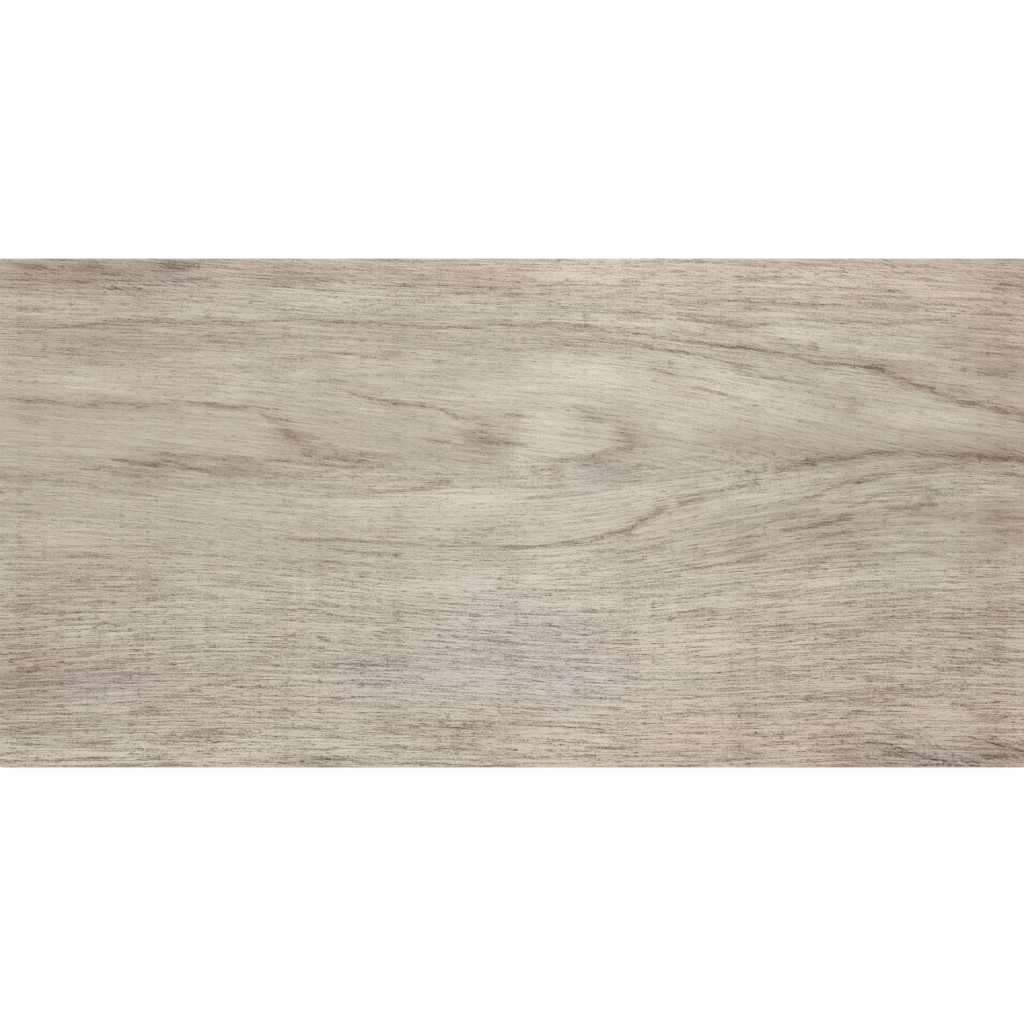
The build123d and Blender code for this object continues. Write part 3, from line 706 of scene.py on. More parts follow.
pale_streaks = (
    # upper left
    (0.5, 2.2, (0, 24), (15, 24), (40, 26), (60, 26)),
    (0.5, 2.2, (13, 31), (25, 32), (35, 33.5), (50, 35), (60, 34), (82, 33.8)),
    (0.5, 2.8, (93, 33), (110, 32), (125, 32), (140, 33), (158, 33)),
    (0.4, 1.6, (88, 42), (97, 42), (105, 42.6)), (0.4, 1.6, (0, 58), (10, 58), (25, 60), (47, 60)),
    (0.4, 1.4, (93, 58.5), (107, 59.6)), (0.4, 4, (113, 57), (125, 57), (135, 58), (148, 58)),
    (0.6, 1.8, (123, 6), (139, 7.6)), (0.4, 2.6, (122, 22), (133, 22), (142, 23)),
    (0.4, 2.6, (138, 24.6), (151, 26)), (0.3, 1.6, (125, 13), (140, 12.5), (153, 13)),
    (0.25, 1.2, (18, 16), (35, 16.5)), (0.3, 2, (0, 34), (10, 36.4)),
    (0.45, 3.2, (148, 22), (172, 23)),
    (0.45, 3, (153, 19), (170, 19), (185, 20.5), (200, 20.5), (230, 22), (247, 22)),
    (0.5, 2.2, (183, 22.8), (195, 23), (205, 24.5), (215, 25), (222, 26)),
    (0.6, 2, (163, 27.2), (172, 28.5), (180, 29)), (0.3, 1.4, (188, 16), (217, 16.5)),
    (0.25, 1.2, (203, 8), (222, 8)), (0.35, 1.4, (218, 3.5), (230, 4), (242, 3)),
    (0.45, 1.8, (273, 1), (285, 3), (301, 3)), (0.35, 1.6, (178, 60), (190, 60), (202, 60.6)),
    (0.5, 3.4, (200, 61.6), (220, 62.4), (227, 64)),
    (0.4, 3, (233, 55), (255, 56), (270, 57.5), (292, 59)), (0.35, 1.8, (258, 60.4), (287, 61)),
    (0.3, 1.4, (183, 51), (202, 51)), (0.5, 1.6, (223, 31), (260, 29), (270, 28), (301, 29)),
    # upper middle and right
    (0.5, 2.2, (303, 27.2), (320, 26), (340, 27), (350, 28.5), (372, 29.5), (395, 29.5),
        (440, 32), (470, 33)),
    (0.7, 3.2, (298, 34.5), (345, 35), (355, 36), (362, 37.5), (388, 41.5), (412, 42)),
    (0.4, 1.4, (393, 18), (405, 17.5), (417, 18)), (0.5, 2.2, (428, 15.5), (457, 16)),
    (0.45, 3.2, (303, 59.6), (315, 63), (327, 63)), (0.35, 2.6, (328, 62), (357, 65)),
    (0.55, 3.6, (393, 59.4), (403, 60), (432, 70.5)),
    (0.3, 1.2, (328, 52), (345, 52.5), (357, 53.6)), (0.45, 2, (438, 60), (450, 62)),
    (0.45, 5, (423, 47), (452, 49)), (0.5, 2.4, (447, 32), (472, 33.6)),
    (0.5, 2.4, (488, 13), (510, 14.5), (520, 13), (530, 14), (542, 14)),
    (0.5, 2, (503, 7), (515, 7.5), (524, 7)), (0.4, 1.6, (448, 5), (465, 5), (478, 5.5), (492, 7)),
    (0.35, 1.4, (553, 6), (567, 6.5)), (0.4, 1.8, (558, 14.4), (577, 17)),
    (0.45, 1.5, (568, 28), (592, 28.5)), (0.35, 1.4, (553, 20.5), (577, 21.5)),
    (0.45, 6, (450, 43), (465, 45), (480, 46), (530, 56), (542, 57)),
    (0.45, 1.8, (563, 44), (573, 45), (582, 45)), (0.5, 1.8, (588, 48), (598, 49)),
    (0.45, 3, (541, 59.4), (558, 64)), (0.35, 2, (546, 71), (560, 71), (577, 73)),
    (0.3, 1.6, (503, 33), (537, 34)),
    (0.65, 3, (498, 74.6), (507, 76), (513, 78), (535, 80), (547, 82.4)),
    (0.45, 1.6, (513, 82), (530, 82.6)),
    (0.45, 4.6, (498, 90), (520, 91), (560, 95), (575, 98), (598, 101)),
    # round the tongues
    (0.65, 2.4, (38, 75), (55, 75), (65, 76), (80, 80), (88, 81.5), (102, 82.2)),
    (0.45, 2.6, (118, 80), (142, 84)), (0.75, 3.4, (138, 111.6), (149, 113), (157, 113)),
    (0.4, 4, (143, 108.6), (158, 109)), (0.4, 2, (18, 122), (30, 121), (40, 121)),
    (0.5, 1.5, (8, 124), (20, 124.3), (27, 123.7)), (0.25, 1.5, (43, 111.8), (60, 112.5)),
    (0.8, 1.8, (93, 125.8), (105, 126.5), (115, 126.5), (122, 125.9)),
    (0.55, 1.5, (111, 120), (127, 119.5)), (0.5, 1.4, (73, 120.8), (82, 123), (92, 124.2)),
    (0.2, 1.6, (58, 99.8), (75, 103), (92, 104)), (0.4, 2.2, (138, 138), (160, 137)),
    (0.3, 1.6, (58, 142), (80, 143), (110, 143), (132, 141)),
    (0.4, 3, (148, 95), (157, 97), (161, 101)), (0.55, 2.8, (203, 86.6), (212, 88.5), (227, 90)),
    (0.4, 2, (228, 98.6), (240, 102), (247, 101)), (0.45, 4.2, (253, 95), (273, 98.2)),
    (0.35, 1.6, (203, 109.6), (215, 112), (224, 113)),
    (0.45, 1.8, (153, 119.8), (163, 121.5), (187, 123)),
    (0.4, 1.3, (186, 116.6), (195, 119), (205, 120.8)),
    (0.45, 2, (213, 125), (222, 126), (232, 125)), (0.35, 1.6, (253, 124.4), (270, 126)),
    (0.4, 4.4, (263, 135.6), (275, 138), (285, 137.5), (300, 138)),
    (0.65, 1.6, (293, 141.4), (305, 139), (312, 137), (319, 135.8)),
    (0.35, 1.8, (203, 143), (227, 143)), (0.4, 2.2, (293, 120.2), (300, 120), (307, 118)),
    (0.5, 1.6, (328, 82.8), (340, 84.5), (347, 85)), (0.3, 1.6, (338, 80), (352, 79)),
    (0.4, 2.8, (308, 92), (320, 92), (330, 93)), (0.6, 4.2, (386, 96.6), (408, 97), (417, 96)),
    (0.3, 1.6, (383, 91.8), (397, 94)), (0.55, 2.4, (358, 116), (367, 118), (377, 118.6)),
    (0.6, 4.8, (360, 136.8), (370, 138), (387, 135.8)), (0.3, 1.2, (323, 114.5), (340, 114)),
    (0.4, 1.4, (418, 102.8), (437, 104)), (0.45, 1.6, (428, 116.2), (437, 118), (447, 118)),
    (0.45, 1.8, (413, 123.8), (432, 126.2)), (0.5, 2, (403, 131.8), (415, 133), (430, 130.8)),
    (0.5, 2.8, (428, 139), (462, 139)), (0.3, 2, (413, 143.8), (427, 146)),
    (0.5, 4, (428, 75.6), (440, 79), (451, 80.4)),
    (0.75, 1.8, (567, 137.4), (590, 137), (598, 136)), (0.55, 2, (553, 139), (567, 139.6)),
    (0.4, 1.6, (498, 122), (513, 119), (542, 117)),
    (0.45, 1.8, (553, 126.8), (562, 128.5), (570, 129), (585, 129)),
    (0.45, 1.8, (473, 127.2), (485, 126), (495, 126)),
    (0.45, 2.8, (447, 134.2), (460, 133), (470, 129), (477, 128.8)),
    (0.35, 1.8, (478, 140.4), (490, 138), (500, 137), (510, 134), (522, 131.8)),
    (0.3, 1.4, (578, 104.8), (589, 106)), (0.4, 1.6, (583, 121), (598, 121.5)),
    (0.4, 1.8, (528, 138.4), (540, 139), (560, 135), (575, 134), (590, 134.6)),
    (0.35, 1.6, (518, 143.4), (530, 141), (542, 139.8)),
    # the quiet middle and the left
    (0.35, 2.2, (0, 157), (25, 157), (40, 156.5), (67, 157)),
    (0.35, 3.2, (13, 162.6), (25, 165.5), (35, 166)),
    (0.35, 1.4, (83, 156.8), (95, 160), (105, 161.5), (132, 162.6)),
    (0.4, 1.3, (123, 168.4), (139, 169.8)),
    (0.45, 1.3, (83, 186.2), (105, 184), (135, 183.2), (151, 183.7)),
    (0.4, 1.3, (0, 193), (8, 192.8), (15, 191), (22, 191.3), (37, 190.2)),
    (0.3, 1, (28, 196.5), (42, 196.5)), (0.35, 1.1, (23, 202.6), (35, 202), (42, 200.5), (52, 200)),
    (0.45, 1.3, (63, 200), (75, 200.5), (85, 200.2), (95, 200.7), (110, 200), (120, 200.5),
        (145, 198), (160, 197.5)),
    (0.45, 1.2, (138, 195.2), (151, 193.4)), (0.4, 1.1, (0, 207.6), (7, 207.5), (22, 206.2)),
    (0.35, 1.1, (58, 209.4), (67, 209), (77, 207.9)), (0.45, 1.1, (93, 207.2), (114, 207.7)),
    (0.55, 1.3, (6, 215.2), (25, 213.8), (40, 213.4)), (0.3, 1, (18, 217.4), (30, 217.8)),
    (0.45, 1.2, (83, 215), (95, 215), (107, 216)), (0.45, 1.2, (38, 222.2), (82, 217.8)),
    (0.5, 1.8, (180, 161.2), (195, 160.7), (205, 161), (227, 163.7), (237, 164.2)),
    (0.3, 2.8, (253, 160), (277, 161)),
    (0.4, 1.8, (288, 163.4), (305, 163), (313, 164), (325, 164)),
    (0.5, 1.4, (228, 183), (242, 183.2)), (0.35, 1.9, (233, 175.8), (270, 178.7), (282, 178.7)),
    (0.45, 1.2, (148, 200), (160, 200.3), (170, 200)), (0.35, 1.1, (176, 195.8), (187, 197)),
    (0.4, 1.2, (178, 200), (188, 200.3), (197, 201.5), (209, 202.2)),
    (0.3, 1.1, (168, 185.8), (180, 187)), (0.45, 1.2, (211, 190.4), (228, 191)),
    (0.55, 1.5, (222, 192.4), (252, 194.3), (262, 194.5)),
    (0.5, 2, (260, 190.8), (268, 192), (279, 191.4)),
    (0.7, 1.8, (266, 195.8), (285, 198), (292, 198), (305, 199.6), (325, 201)),
    (0.35, 1.1, (198, 197.8), (215, 199.1)),
    (0.45, 1.3, (193, 208), (213, 209), (220, 209.8), (232, 209.2)),
    (0.35, 1.1, (228, 205), (243, 205.5), (257, 207.8)),
    (0.4, 1.8, (208, 216.4), (222, 217.5), (235, 217.5)), (0.4, 1.1, (230, 213.6), (242, 214.1)),
    (0.45, 1.2, (270, 210.4), (282, 211.1)), (0.35, 1.2, (178, 212), (192, 212.6)),
    (0.45, 1.8, (357, 169.7), (368, 169), (375, 167.3), (385, 166.3)),
    (0.3, 3, (328, 154), (347, 155)), (0.35, 2.2, (306, 186), (322, 186.6)),
    (0.75, 1.7, (320, 201.2), (335, 202), (355, 199.7), (362, 198), (380, 195), (390, 194),
        (430, 193), (451, 190.6)),
    (0.45, 1.2, (298, 207.6), (308, 209.7), (325, 211), (337, 211.4)),
    (0.45, 1.1, (333, 207.4), (350, 208), (365, 208), (374, 206.9)),
    (0.4, 1.1, (348, 212), (365, 212), (380, 210.9)),
    (0.6, 1.4, (368, 215.2), (390, 214), (397, 212.7), (414, 210.8)),
    (0.45, 1.3, (378, 205.8), (397, 202.8)), (0.35, 1.1, (398, 186.5), (410, 186)),
    (0.35, 1.2, (393, 175.6), (404, 174.9)), (0.4, 1.1, (368, 218), (380, 218), (402, 216)),
    (0.35, 1.1, (348, 183.5), (359, 183.3)), (0.3, 1.1, (413, 198.2), (427, 197.2)),
    (0.4, 1.3, (425, 173.6), (435, 172.4)),
    (0.85, 1.9, (447, 191.2), (455, 190), (470, 189), (480, 189.5), (487, 188), (520, 184.8),
        (559, 183.3)),
    (0.4, 1.6, (498, 186.8), (517, 185)), (0.4, 1.6, (558, 180.8), (580, 179.3), (598, 179.5)),
    (0.4, 1.5, (575, 170.6), (583, 172.5), (598, 175)),
    (0.45, 1.4, (458, 195.2), (467, 194.5), (475, 193), (487, 191.5)),
    (0.35, 1.2, (508, 189.2), (524, 188.6)),
    (0.4, 1.2, (503, 197.2), (535, 196), (565, 194.3), (598, 195)),
    (0.5, 1.5, (543, 203.2), (560, 201.5), (577, 202.3)), (0.5, 1.2, (553, 199), (567, 199)),
    (0.35, 1.2, (558, 190.5), (575, 190), (598, 190)),
    (0.4, 1.3, (503, 160.8), (520, 158), (529, 157.4)), (0.4, 1.3, (510, 164.2), (530, 163)),
    (0.4, 1.5, (518, 167.7), (540, 166), (545, 164), (555, 162), (565, 162.6)),
    (0.4, 1.4, (508, 169.2), (524, 171.6)), (0.35, 1.6, (573, 161), (585, 162)),
    (0.35, 1.1, (458, 167.2), (470, 166.6)),
    (0.4, 1.1, (447, 209.2), (460, 207.8), (470, 207.7), (479, 206.8)),
    (0.4, 1.1, (508, 212.4), (530, 211)), (0.35, 1, (518, 207.2), (537, 206.2)),
    (0.35, 1.2, (566, 220.6), (577, 221)),
    # the lower left and the bottom edge
    (0.35, 1.4, (8, 228.8), (22, 228)), (0.35, 1.3, (83, 231.2), (95, 230.7), (107, 231)),
    (0.45, 1.6, (8, 269.7), (29, 267.2)), (0.3, 1.8, (13, 272), (27, 273)),
    (0.45, 1.3, (58, 262), (80, 261.7)), (0.45, 1.1, (98, 263), (109, 263)),
    (0.5, 1.3, (100, 251.7), (172, 248.3), (180, 248.5), (192, 247.9)),
    (0.45, 1.5, (0, 280.5), (17, 281.1)),
    (0.9, 1.9, (0, 288.5), (8, 288), (17, 289.3), (30, 289.5), (55, 288.5), (67, 289), (78, 288.6)),
    (0.55, 1.4, (65, 289), (75, 291.3), (82, 291.5)),
    (0.85, 1.8, (76, 288.3), (90, 287.5), (100, 288), (115, 286.4)),
    (0.5, 1.5, (61, 277.6), (74, 278.4)), (0.4, 1.3, (70, 280.6), (82, 281.1)),
    (0.95, 2.2, (118, 284.3), (128, 285), (135, 286), (151, 286)), (0.45, 1.3, (0, 274), (9, 274)),
    (0.4, 1.2, (108, 276.5), (124, 276.7)), (0.5, 2.2, (113, 294), (124, 295.2)),
    (0.35, 1.1, (0, 285.7), (32, 285.5)), (0.65, 1.9, (147, 264), (159, 264)),
    (0.4, 1.4, (223, 225.8), (234, 226.8)), (0.5, 1.4, (226, 246.4), (235, 247), (245, 247)),
    (0.4, 1.3, (220, 250.8), (234, 252.4)), (0.4, 2.2, (263, 265.9), (287, 267)),
    (0.75, 1.8, (147, 269.4), (182, 270.3)), (0.5, 1.5, (198, 272.2), (212, 272.9)),
    (0.45, 1.3, (148, 275.7), (159, 276)), (0.4, 2, (153, 282), (180, 283), (192, 282.7)),
    (0.9, 1.9, (228, 282.8), (247, 284.3), (257, 283.9)),
    (0.95, 2.2, (281, 282.9), (290, 283.3), (299, 283), (305, 284), (317, 284.6)),
    (0.45, 1.3, (248, 277.4), (277, 278.4)), (0.75, 1.5, (292, 276.9), (310, 276)),
    (0.4, 1.3, (263, 251.4), (280, 252), (301, 252)), (0.4, 1.4, (288, 238.2), (301, 237.2)),
    (0.35, 1.3, (285, 255.5), (301, 255.5)), (0.35, 1.4, (203, 290.4), (217, 290.9)),
    (0.35, 1.3, (233, 291), (247, 290.6)), (0.35, 1.4, (288, 270.2), (301, 269.4)),
    (0.7, 1.5, (313, 284.4), (340, 284)), (0.8, 1.9, (346, 280.8), (355, 282), (364, 281.4)),
    (0.5, 1.2, (343, 277.4), (354, 277.8)), (0.4, 2.6, (325, 259.8), (345, 261.6)),
    (0.3, 1.4, (343, 258.8), (370, 262), (382, 262)),
    (0.55, 1.5, (376, 285.6), (388, 286), (397, 284.8)),
    (0.5, 1.2, (398, 229.9), (415, 229), (435, 226.7), (451, 225.5)),
    (0.3, 1.2, (338, 235.2), (350, 237), (364, 237.6)), (0.4, 1.1, (398, 237), (417, 236.4)),
    (0.4, 1.2, (406, 249.1), (415, 249), (442, 246.8)), (0.35, 1.1, (338, 250), (382, 250)),
    (0.35, 2.4, (328, 267.8), (352, 269.2)), (0.3, 1.3, (363, 273.4), (377, 275)),
    (0.35, 1.6, (386, 275.2), (398, 274.8)), (0.35, 1.2, (428, 278.4), (437, 276.9)),
    (0.4, 1.4, (433, 281.2), (451, 280.2)), (0.35, 1.6, (426, 293), (439, 293)),
    (0.35, 1.2, (318, 240), (330, 240.3), (340, 240)),
    # the knot at the lower right
    (0.85, 2.2, (498, 280.9), (508, 280.3), (515, 280.5), (520, 281.6)),
    (0.85, 2.6, (516, 280.8), (533, 282.7), (540, 282.5), (545, 281.4), (555, 281)),
    (0.65, 2.4, (505, 285.8), (514, 286.2)),
    (0.6, 1.8, (508, 293), (515, 293.3), (520, 292.7), (529, 295)),
    (0.45, 1.5, (498, 276.2), (507, 275.5), (515, 274), (537, 274.7)),
    (0.45, 1.4, (483, 263.6), (507, 262.2)), (0.3, 1.4, (447, 263.5), (472, 264)),
    (0.35, 1.6, (523, 260.5), (537, 260)), (0.4, 1.4, (543, 260.4), (559, 260.8)),
    (0.4, 1.2, (503, 267.6), (512, 268.1)),
    (0.45, 1.8, (553, 275), (565, 275), (575, 273.5), (587, 272.8)),
    (0.4, 1.5, (588, 272), (598, 272.5)),
    (0.45, 1.3, (503, 240.6), (520, 242), (530, 241), (547, 240.4)),
    (0.45, 1.4, (563, 240.6), (592, 241)), (0.45, 1.2, (478, 238.5), (502, 238)),
    (0.4, 1.2, (528, 230), (545, 229.7), (557, 230)),
    (0.3, 1.2, (543, 248), (570, 247), (597, 247)), (0.35, 1.3, (563, 225.9), (574, 226.4)),
    (0.35, 1.2, (448, 244.6), (465, 244.3), (479, 242.8)), (0.3, 1.1, (538, 250), (598, 250.7)),
    (0.35, 2.6, (543, 283.6), (560, 283.5), (572, 285.2)), (0.3, 1.8, (558, 289.8), (572, 291)),
)

# Steep limbs of the figure: how dark, the breadth, and the points as (down, along)
steep_streaks = (
    (0.34, 4.5, (97, 359), (101, 365), (105, 369.5), (109, 370), (113, 365)),
    (0.32, 4.0, (114, 327), (119, 324), (124, 323.5), (129, 325.5), (135, 329)),
    (0.2, 7.0, (88, 148), (93, 158), (98, 165), (104, 172), (110, 179), (115, 186)),
    (0.18, 3.0, (90, 151), (94, 160), (100, 168), (106, 175), (113, 182)),
    (0.17, 5.0, (99, 270), (104, 274), (108, 281)),
)

# Broad soft tones of the print: how dark (pale is negative), then the middle and the reach
# along and across, in the same millimetres
soft_tones = (
    (0.4, 104, 4, 16, 5), (0.5, 50, 6, 34, 8), (0.3, 5, 8, 20, 8), (0.25, 175, 12, 30, 6),
    (0.35, 275, 12, 30, 6), (-0.4, 345, 8, 55, 9), (-0.3, 485, 8, 45, 9), (0.2, 590, 12, 18, 12),
    (-0.25, 180, 24, 40, 7), (-0.2, 25, 30, 22, 8), (0.3, 62, 46, 32, 12), (0.2, 125, 44, 25, 10),
    (0.2, 235, 40, 30, 9), (-0.15, 140, 57, 25, 5), (-0.3, 50, 70, 45, 6), (-0.2, 150, 74, 35, 8),
    (-0.3, 375, 37, 32, 6), (-0.35, 460, 41, 28, 7), (-0.2, 515, 46, 25, 8),
    (0.45, 588, 60, 16, 14), (0.3, 570, 40, 25, 14), (-0.6, 345, 68, 48, 12),
    (-0.45, 285, 80, 36, 9), (-0.3, 235, 62, 35, 8), (-0.45, 425, 76, 28, 12),
    (-0.3, 455, 88, 32, 9), (-0.5, 318, 96, 16, 20), (-0.45, 400, 96, 22, 7),
    (-0.3, 548, 92, 32, 6), (-0.2, 110, 100, 45, 8), (0.2, 65, 88, 60, 5), (-0.1, 40, 108, 40, 8),
    (0.45, 95, 120, 24, 8), (0.5, 138, 122, 18, 8), (0.3, 168, 104, 9, 10), (0.45, 192, 114, 16, 7),
    (0.3, 280, 106, 12, 12), (0.36, 368, 104, 9, 9), (0.35, 355, 124, 22, 9),
    (0.35, 326, 125, 5, 9), (-0.35, 303, 120, 8, 14), (0.2, 245, 112, 25, 8),
    (0.3, 430, 108, 26, 7), (0.45, 480, 116, 35, 8), (0.5, 560, 114, 36, 9),
    (0.35, 592, 114, 14, 12), (0.25, 590, 94, 14, 8), (-0.5, 270, 140, 34, 8),
    (-0.35, 370, 138, 26, 7), (-0.3, 200, 148, 60, 10), (-0.3, 330, 150, 40, 12),
    (-0.2, 445, 138, 28, 6), (-0.2, 540, 138, 36, 6), (-0.2, 30, 160, 40, 9),
    (0.34, 488, 153, 32, 9), (0.4, 545, 148, 26, 9), (0.5, 590, 155, 22, 16),
    (0.25, 430, 168, 35, 10), (0.2, 560, 170, 40, 8), (-0.35, 290, 188, 55, 10),
    (-0.25, 210, 192, 40, 8), (-0.3, 340, 178, 28, 12), (-0.2, 500, 186, 60, 6),
    (0.25, 45, 178, 40, 8), (0.2, 180, 178, 22, 7), (0.25, 55, 196, 45, 8), (0.3, 15, 205, 25, 12),
    (0.35, 592, 206, 22, 9), (0.2, 540, 204, 35, 8), (-0.1, 330, 205, 40, 8),
    (-0.25, 410, 225, 50, 8), (0.65, 8, 243, 26, 16), (0.45, 50, 245, 32, 10),
    (0.3, 110, 240, 40, 8), (0.25, 215, 238, 32, 8), (0.25, 550, 232, 50, 7),
    (-0.2, 310, 250, 50, 12), (-0.25, 385, 265, 45, 14), (0.25, 495, 256, 38, 7),
    (0.2, 120, 265, 30, 12), (0.2, 45, 277, 28, 6), (-0.25, 15, 288, 18, 8),
    (-0.35, 85, 287, 24, 9), (-0.35, 145, 284, 20, 8), (0.18, 115, 280, 20, 7),
    (0.25, 250, 273, 40, 5), (-0.25, 200, 280, 32, 8), (-0.2, 300, 284, 26, 6),
    (0.3, 487, 284, 14, 14), (0.25, 430, 286, 26, 9), (0.6, 590, 289, 28, 9),
    (0.45, 540, 292, 28, 8), (-0.3, 470, 286, 14, 6), (0.2, 575, 262, 28, 8),
    (-0.2, 380, 245, 25, 10), (0.25, 50, 12, 90, 16), (0.2, 20, 45, 50, 25), (0.15, 100, 8, 60, 12),
    (0.1, 200, 5, 60, 10), (-0.15, 330, 5, 60, 8), (-0.15, 450, 8, 40, 8), (0.15, 480, 3, 30, 5),
    (-0.25, 376, 20, 20, 6), (-0.25, 376, 82, 25, 8), (-0.22, 345, 100, 25, 12),
    (-0.2, 284, 95, 15, 6), (-0.2, 345, 112, 15, 5), (-0.2, 400, 112, 14, 6),
    (-0.18, 222, 80, 40, 7), (0.12, 314, 82, 12, 5), (0.15, 530, 62, 30, 6), (-0.2, 560, 34, 20, 6),
    (0.2, 90, 127, 40, 7), (0.15, 10, 127, 20, 7), (-0.2, 330, 127, 14, 8),
    (-0.22, 406, 141, 16, 6), (-0.15, 284, 158, 30, 10), (-0.18, 314, 172, 20, 7),
    (0.2, 498, 172, 20, 8), (0.12, 500, 187, 25, 6), (0.12, 207, 187, 18, 5),
    (-0.2, 375, 205, 35, 9), (-0.12, 320, 202, 30, 8), (0.22, 10, 222, 25, 10),
    (0.2, 40, 232, 25, 8), (0.2, 161, 233, 12, 6), (0.22, 575, 217, 24, 7),
    (-0.15, 376, 235, 16, 6), (-0.15, 253, 248, 12, 6), (-0.12, 560, 234, 16, 6),
    (0.2, 590, 248, 16, 6), (0.3, 8, 264, 16, 8), (0.15, 40, 265, 25, 10), (0.15, 20, 280, 30, 8),
    (-0.12, 320, 265, 20, 6), (-0.2, 350, 280, 25, 8), (0.3, 520, 283, 30, 10),
    (0.3, 510, 294, 25, 6), (0.2, 575, 290, 25, 8), (-0.15, 253, 294, 15, 6),
    (-0.18, 345, 294, 16, 6), (0.15, 0, 150, 150, 400), (-0.09, 380, 100, 120, 300),
    (0.2, 480, 3, 40, 4), (-0.2, 440, 18, 60, 6), (-0.15, 560, 24, 50, 10), (0.15, 140, 50, 45, 10),
    (0.18, 258, 62, 45, 9), (-0.2, 592, 48, 15, 9), (-0.28, 494, 67, 18, 9),
    (-0.18, 135, 80, 16, 6), (0.2, 315, 85, 12, 10), (-0.15, 225, 80, 15, 5),
    (-0.22, 161, 95, 12, 6), (0.2, 408, 96, 14, 5), (-0.25, 193, 110, 12, 5),
    (0.16, 62, 127, 42, 7), (0.16, 178, 127, 25, 6), (-0.25, 374, 156, 14, 6),
    (-0.28, 468, 156, 14, 5), (-0.18, 222, 171, 16, 6), (-0.15, 405, 171, 35, 5),
    (0.2, 240, 187, 22, 6), (0.15, 500, 214, 75, 9), (-0.18, 536, 234, 16, 5),
    (0.17, 388, 250, 42, 9), (0.15, 490, 281, 40, 7), (-0.27, 132, 294, 12, 5),
    (0.28, 500, 295, 14, 5), (0.2, 580, 292, 28, 7),
)

# Washes of colour: rose, violet and straw, each with its strength, middle and reach
rose_washes = (
    (0.55, 20, 8, 35, 10), (0.4, 85, 8, 35, 9), (0.45, 190, 8, 50, 9), (0.6, 280, 10, 45, 10),
    (0.5, 350, 8, 50, 12), (0.5, 430, 10, 50, 14), (0.65, 500, 12, 50, 16), (0.75, 580, 20, 45, 26),
    (0.25, 90, 48, 20, 12), (0.2, 210, 54, 30, 8), (0.35, 70, 84, 45, 4), (0.45, 178, 104, 18, 8),
    (0.35, 210, 118, 14, 6), (0.3, 278, 108, 14, 10), (0.4, 368, 104, 12, 8),
    (0.35, 430, 107, 16, 6), (0.6, 485, 58, 26, 5), (0.75, 540, 72, 26, 7), (0.8, 590, 88, 18, 8),
    (0.75, 582, 55, 16, 14), (0.3, 405, 76, 16, 6), (0.3, 390, 46, 50, 4), (0.3, 130, 120, 25, 5),
    (0.55, 500, 114, 45, 5), (0.6, 575, 116, 28, 6), (0.4, 488, 152, 24, 8), (0.4, 540, 148, 26, 6),
    (0.6, 592, 150, 18, 14), (0.55, 445, 172, 26, 10), (0.3, 380, 156, 30, 6),
    (0.3, 240, 134, 24, 4), (0.4, 60, 185, 22, 14), (0.3, 470, 180, 28, 6), (0.2, 575, 190, 30, 12),
    (0.5, 15, 238, 35, 10), (0.35, 60, 236, 30, 8), (0.4, 420, 215, 40, 12),
    (0.4, 520, 220, 60, 16), (0.45, 590, 210, 30, 16), (0.45, 590, 262, 30, 14),
    (0.35, 500, 245, 60, 12), (0.5, 425, 276, 28, 12), (0.45, 560, 262, 45, 12),
    (0.35, 480, 285, 18, 12), (0.35, 115, 275, 28, 12), (0.25, 300, 262, 26, 6),
    (0.3, 360, 285, 40, 8), (0.3, 590, 290, 26, 8), (0.25, 180, 262, 26, 6), (0.3, 390, 262, 30, 9),
    (0.3, 445, 240, 30, 12), (0.2, 170, 215, 16, 8), (0.35, 150, 3, 60, 6), (0.4, 500, 3, 90, 7),
    (0.4, 500, 265, 50, 16), (0.45, 470, 285, 50, 12), (0.5, 575, 285, 50, 14),
    (0.4, 520, 292, 60, 10), (0.4, 470, 195, 30, 10), (0.35, 590, 240, 16, 16),
    (0.4, 30, 294, 40, 6), (0.4, 5, 262, 16, 8), (0.25, 140, 293, 50, 6), (0.3, 330, 245, 60, 8),
    (0.4, 400, 280, 20, 16), (0.25, 510, 34, 30, 8), (0.3, 590, 175, 16, 16),
    (0.3, 350, 233, 80, 10), (0.3, 330, 282, 100, 20), (0.25, 120, 250, 80, 14),
    (0.25, 529, 95, 16, 5), (0.35, 598, 70, 14, 60), (0.3, 598, 175, 14, 50),
    (0.35, 598, 285, 20, 25), (0.25, 410, 28, 40, 12), (0.2, 300, 235, 60, 18),
)
violet_washes = (
    (0.75, 300, 218, 55, 22), (0.6, 340, 244, 40, 12), (0.55, 225, 240, 38, 9),
    (0.3, 165, 200, 34, 6), (0.35, 205, 206, 26, 10), (0.35, 150, 242, 50, 8),
    (0.45, 55, 247, 30, 6), (0.3, 110, 240, 40, 6), (0.3, 280, 186, 28, 14), (0.4, 350, 120, 22, 8),
    (0.35, 250, 115, 20, 8), (0.3, 320, 62, 20, 6), (0.2, 240, 36, 20, 8), (0.5, 535, 288, 26, 7),
    (0.35, 278, 272, 26, 6), (0.25, 225, 286, 30, 6), (0.2, 490, 115, 60, 8),
    (0.3, 410, 245, 30, 7), (0.2, 100, 155, 30, 6), (0.3, 105, 8, 14, 7), (0.2, 545, 75, 22, 6),
    (0.25, 410, 130, 22, 6), (0.2, 265, 135, 18, 6), (0.2, 400, 50, 60, 6),
    (0.35, 240, 240, 40, 12), (0.3, 300, 250, 50, 10), (0.3, 60, 250, 50, 8), (0.3, 10, 280, 20, 8),
    (0.35, 345, 126, 16, 6), (0.3, 230, 126, 20, 5), (0.3, 253, 180, 20, 10),
    (0.25, 560, 250, 30, 10), (0.3, 560, 292, 30, 8), (0.2, 120, 205, 40, 8),
)
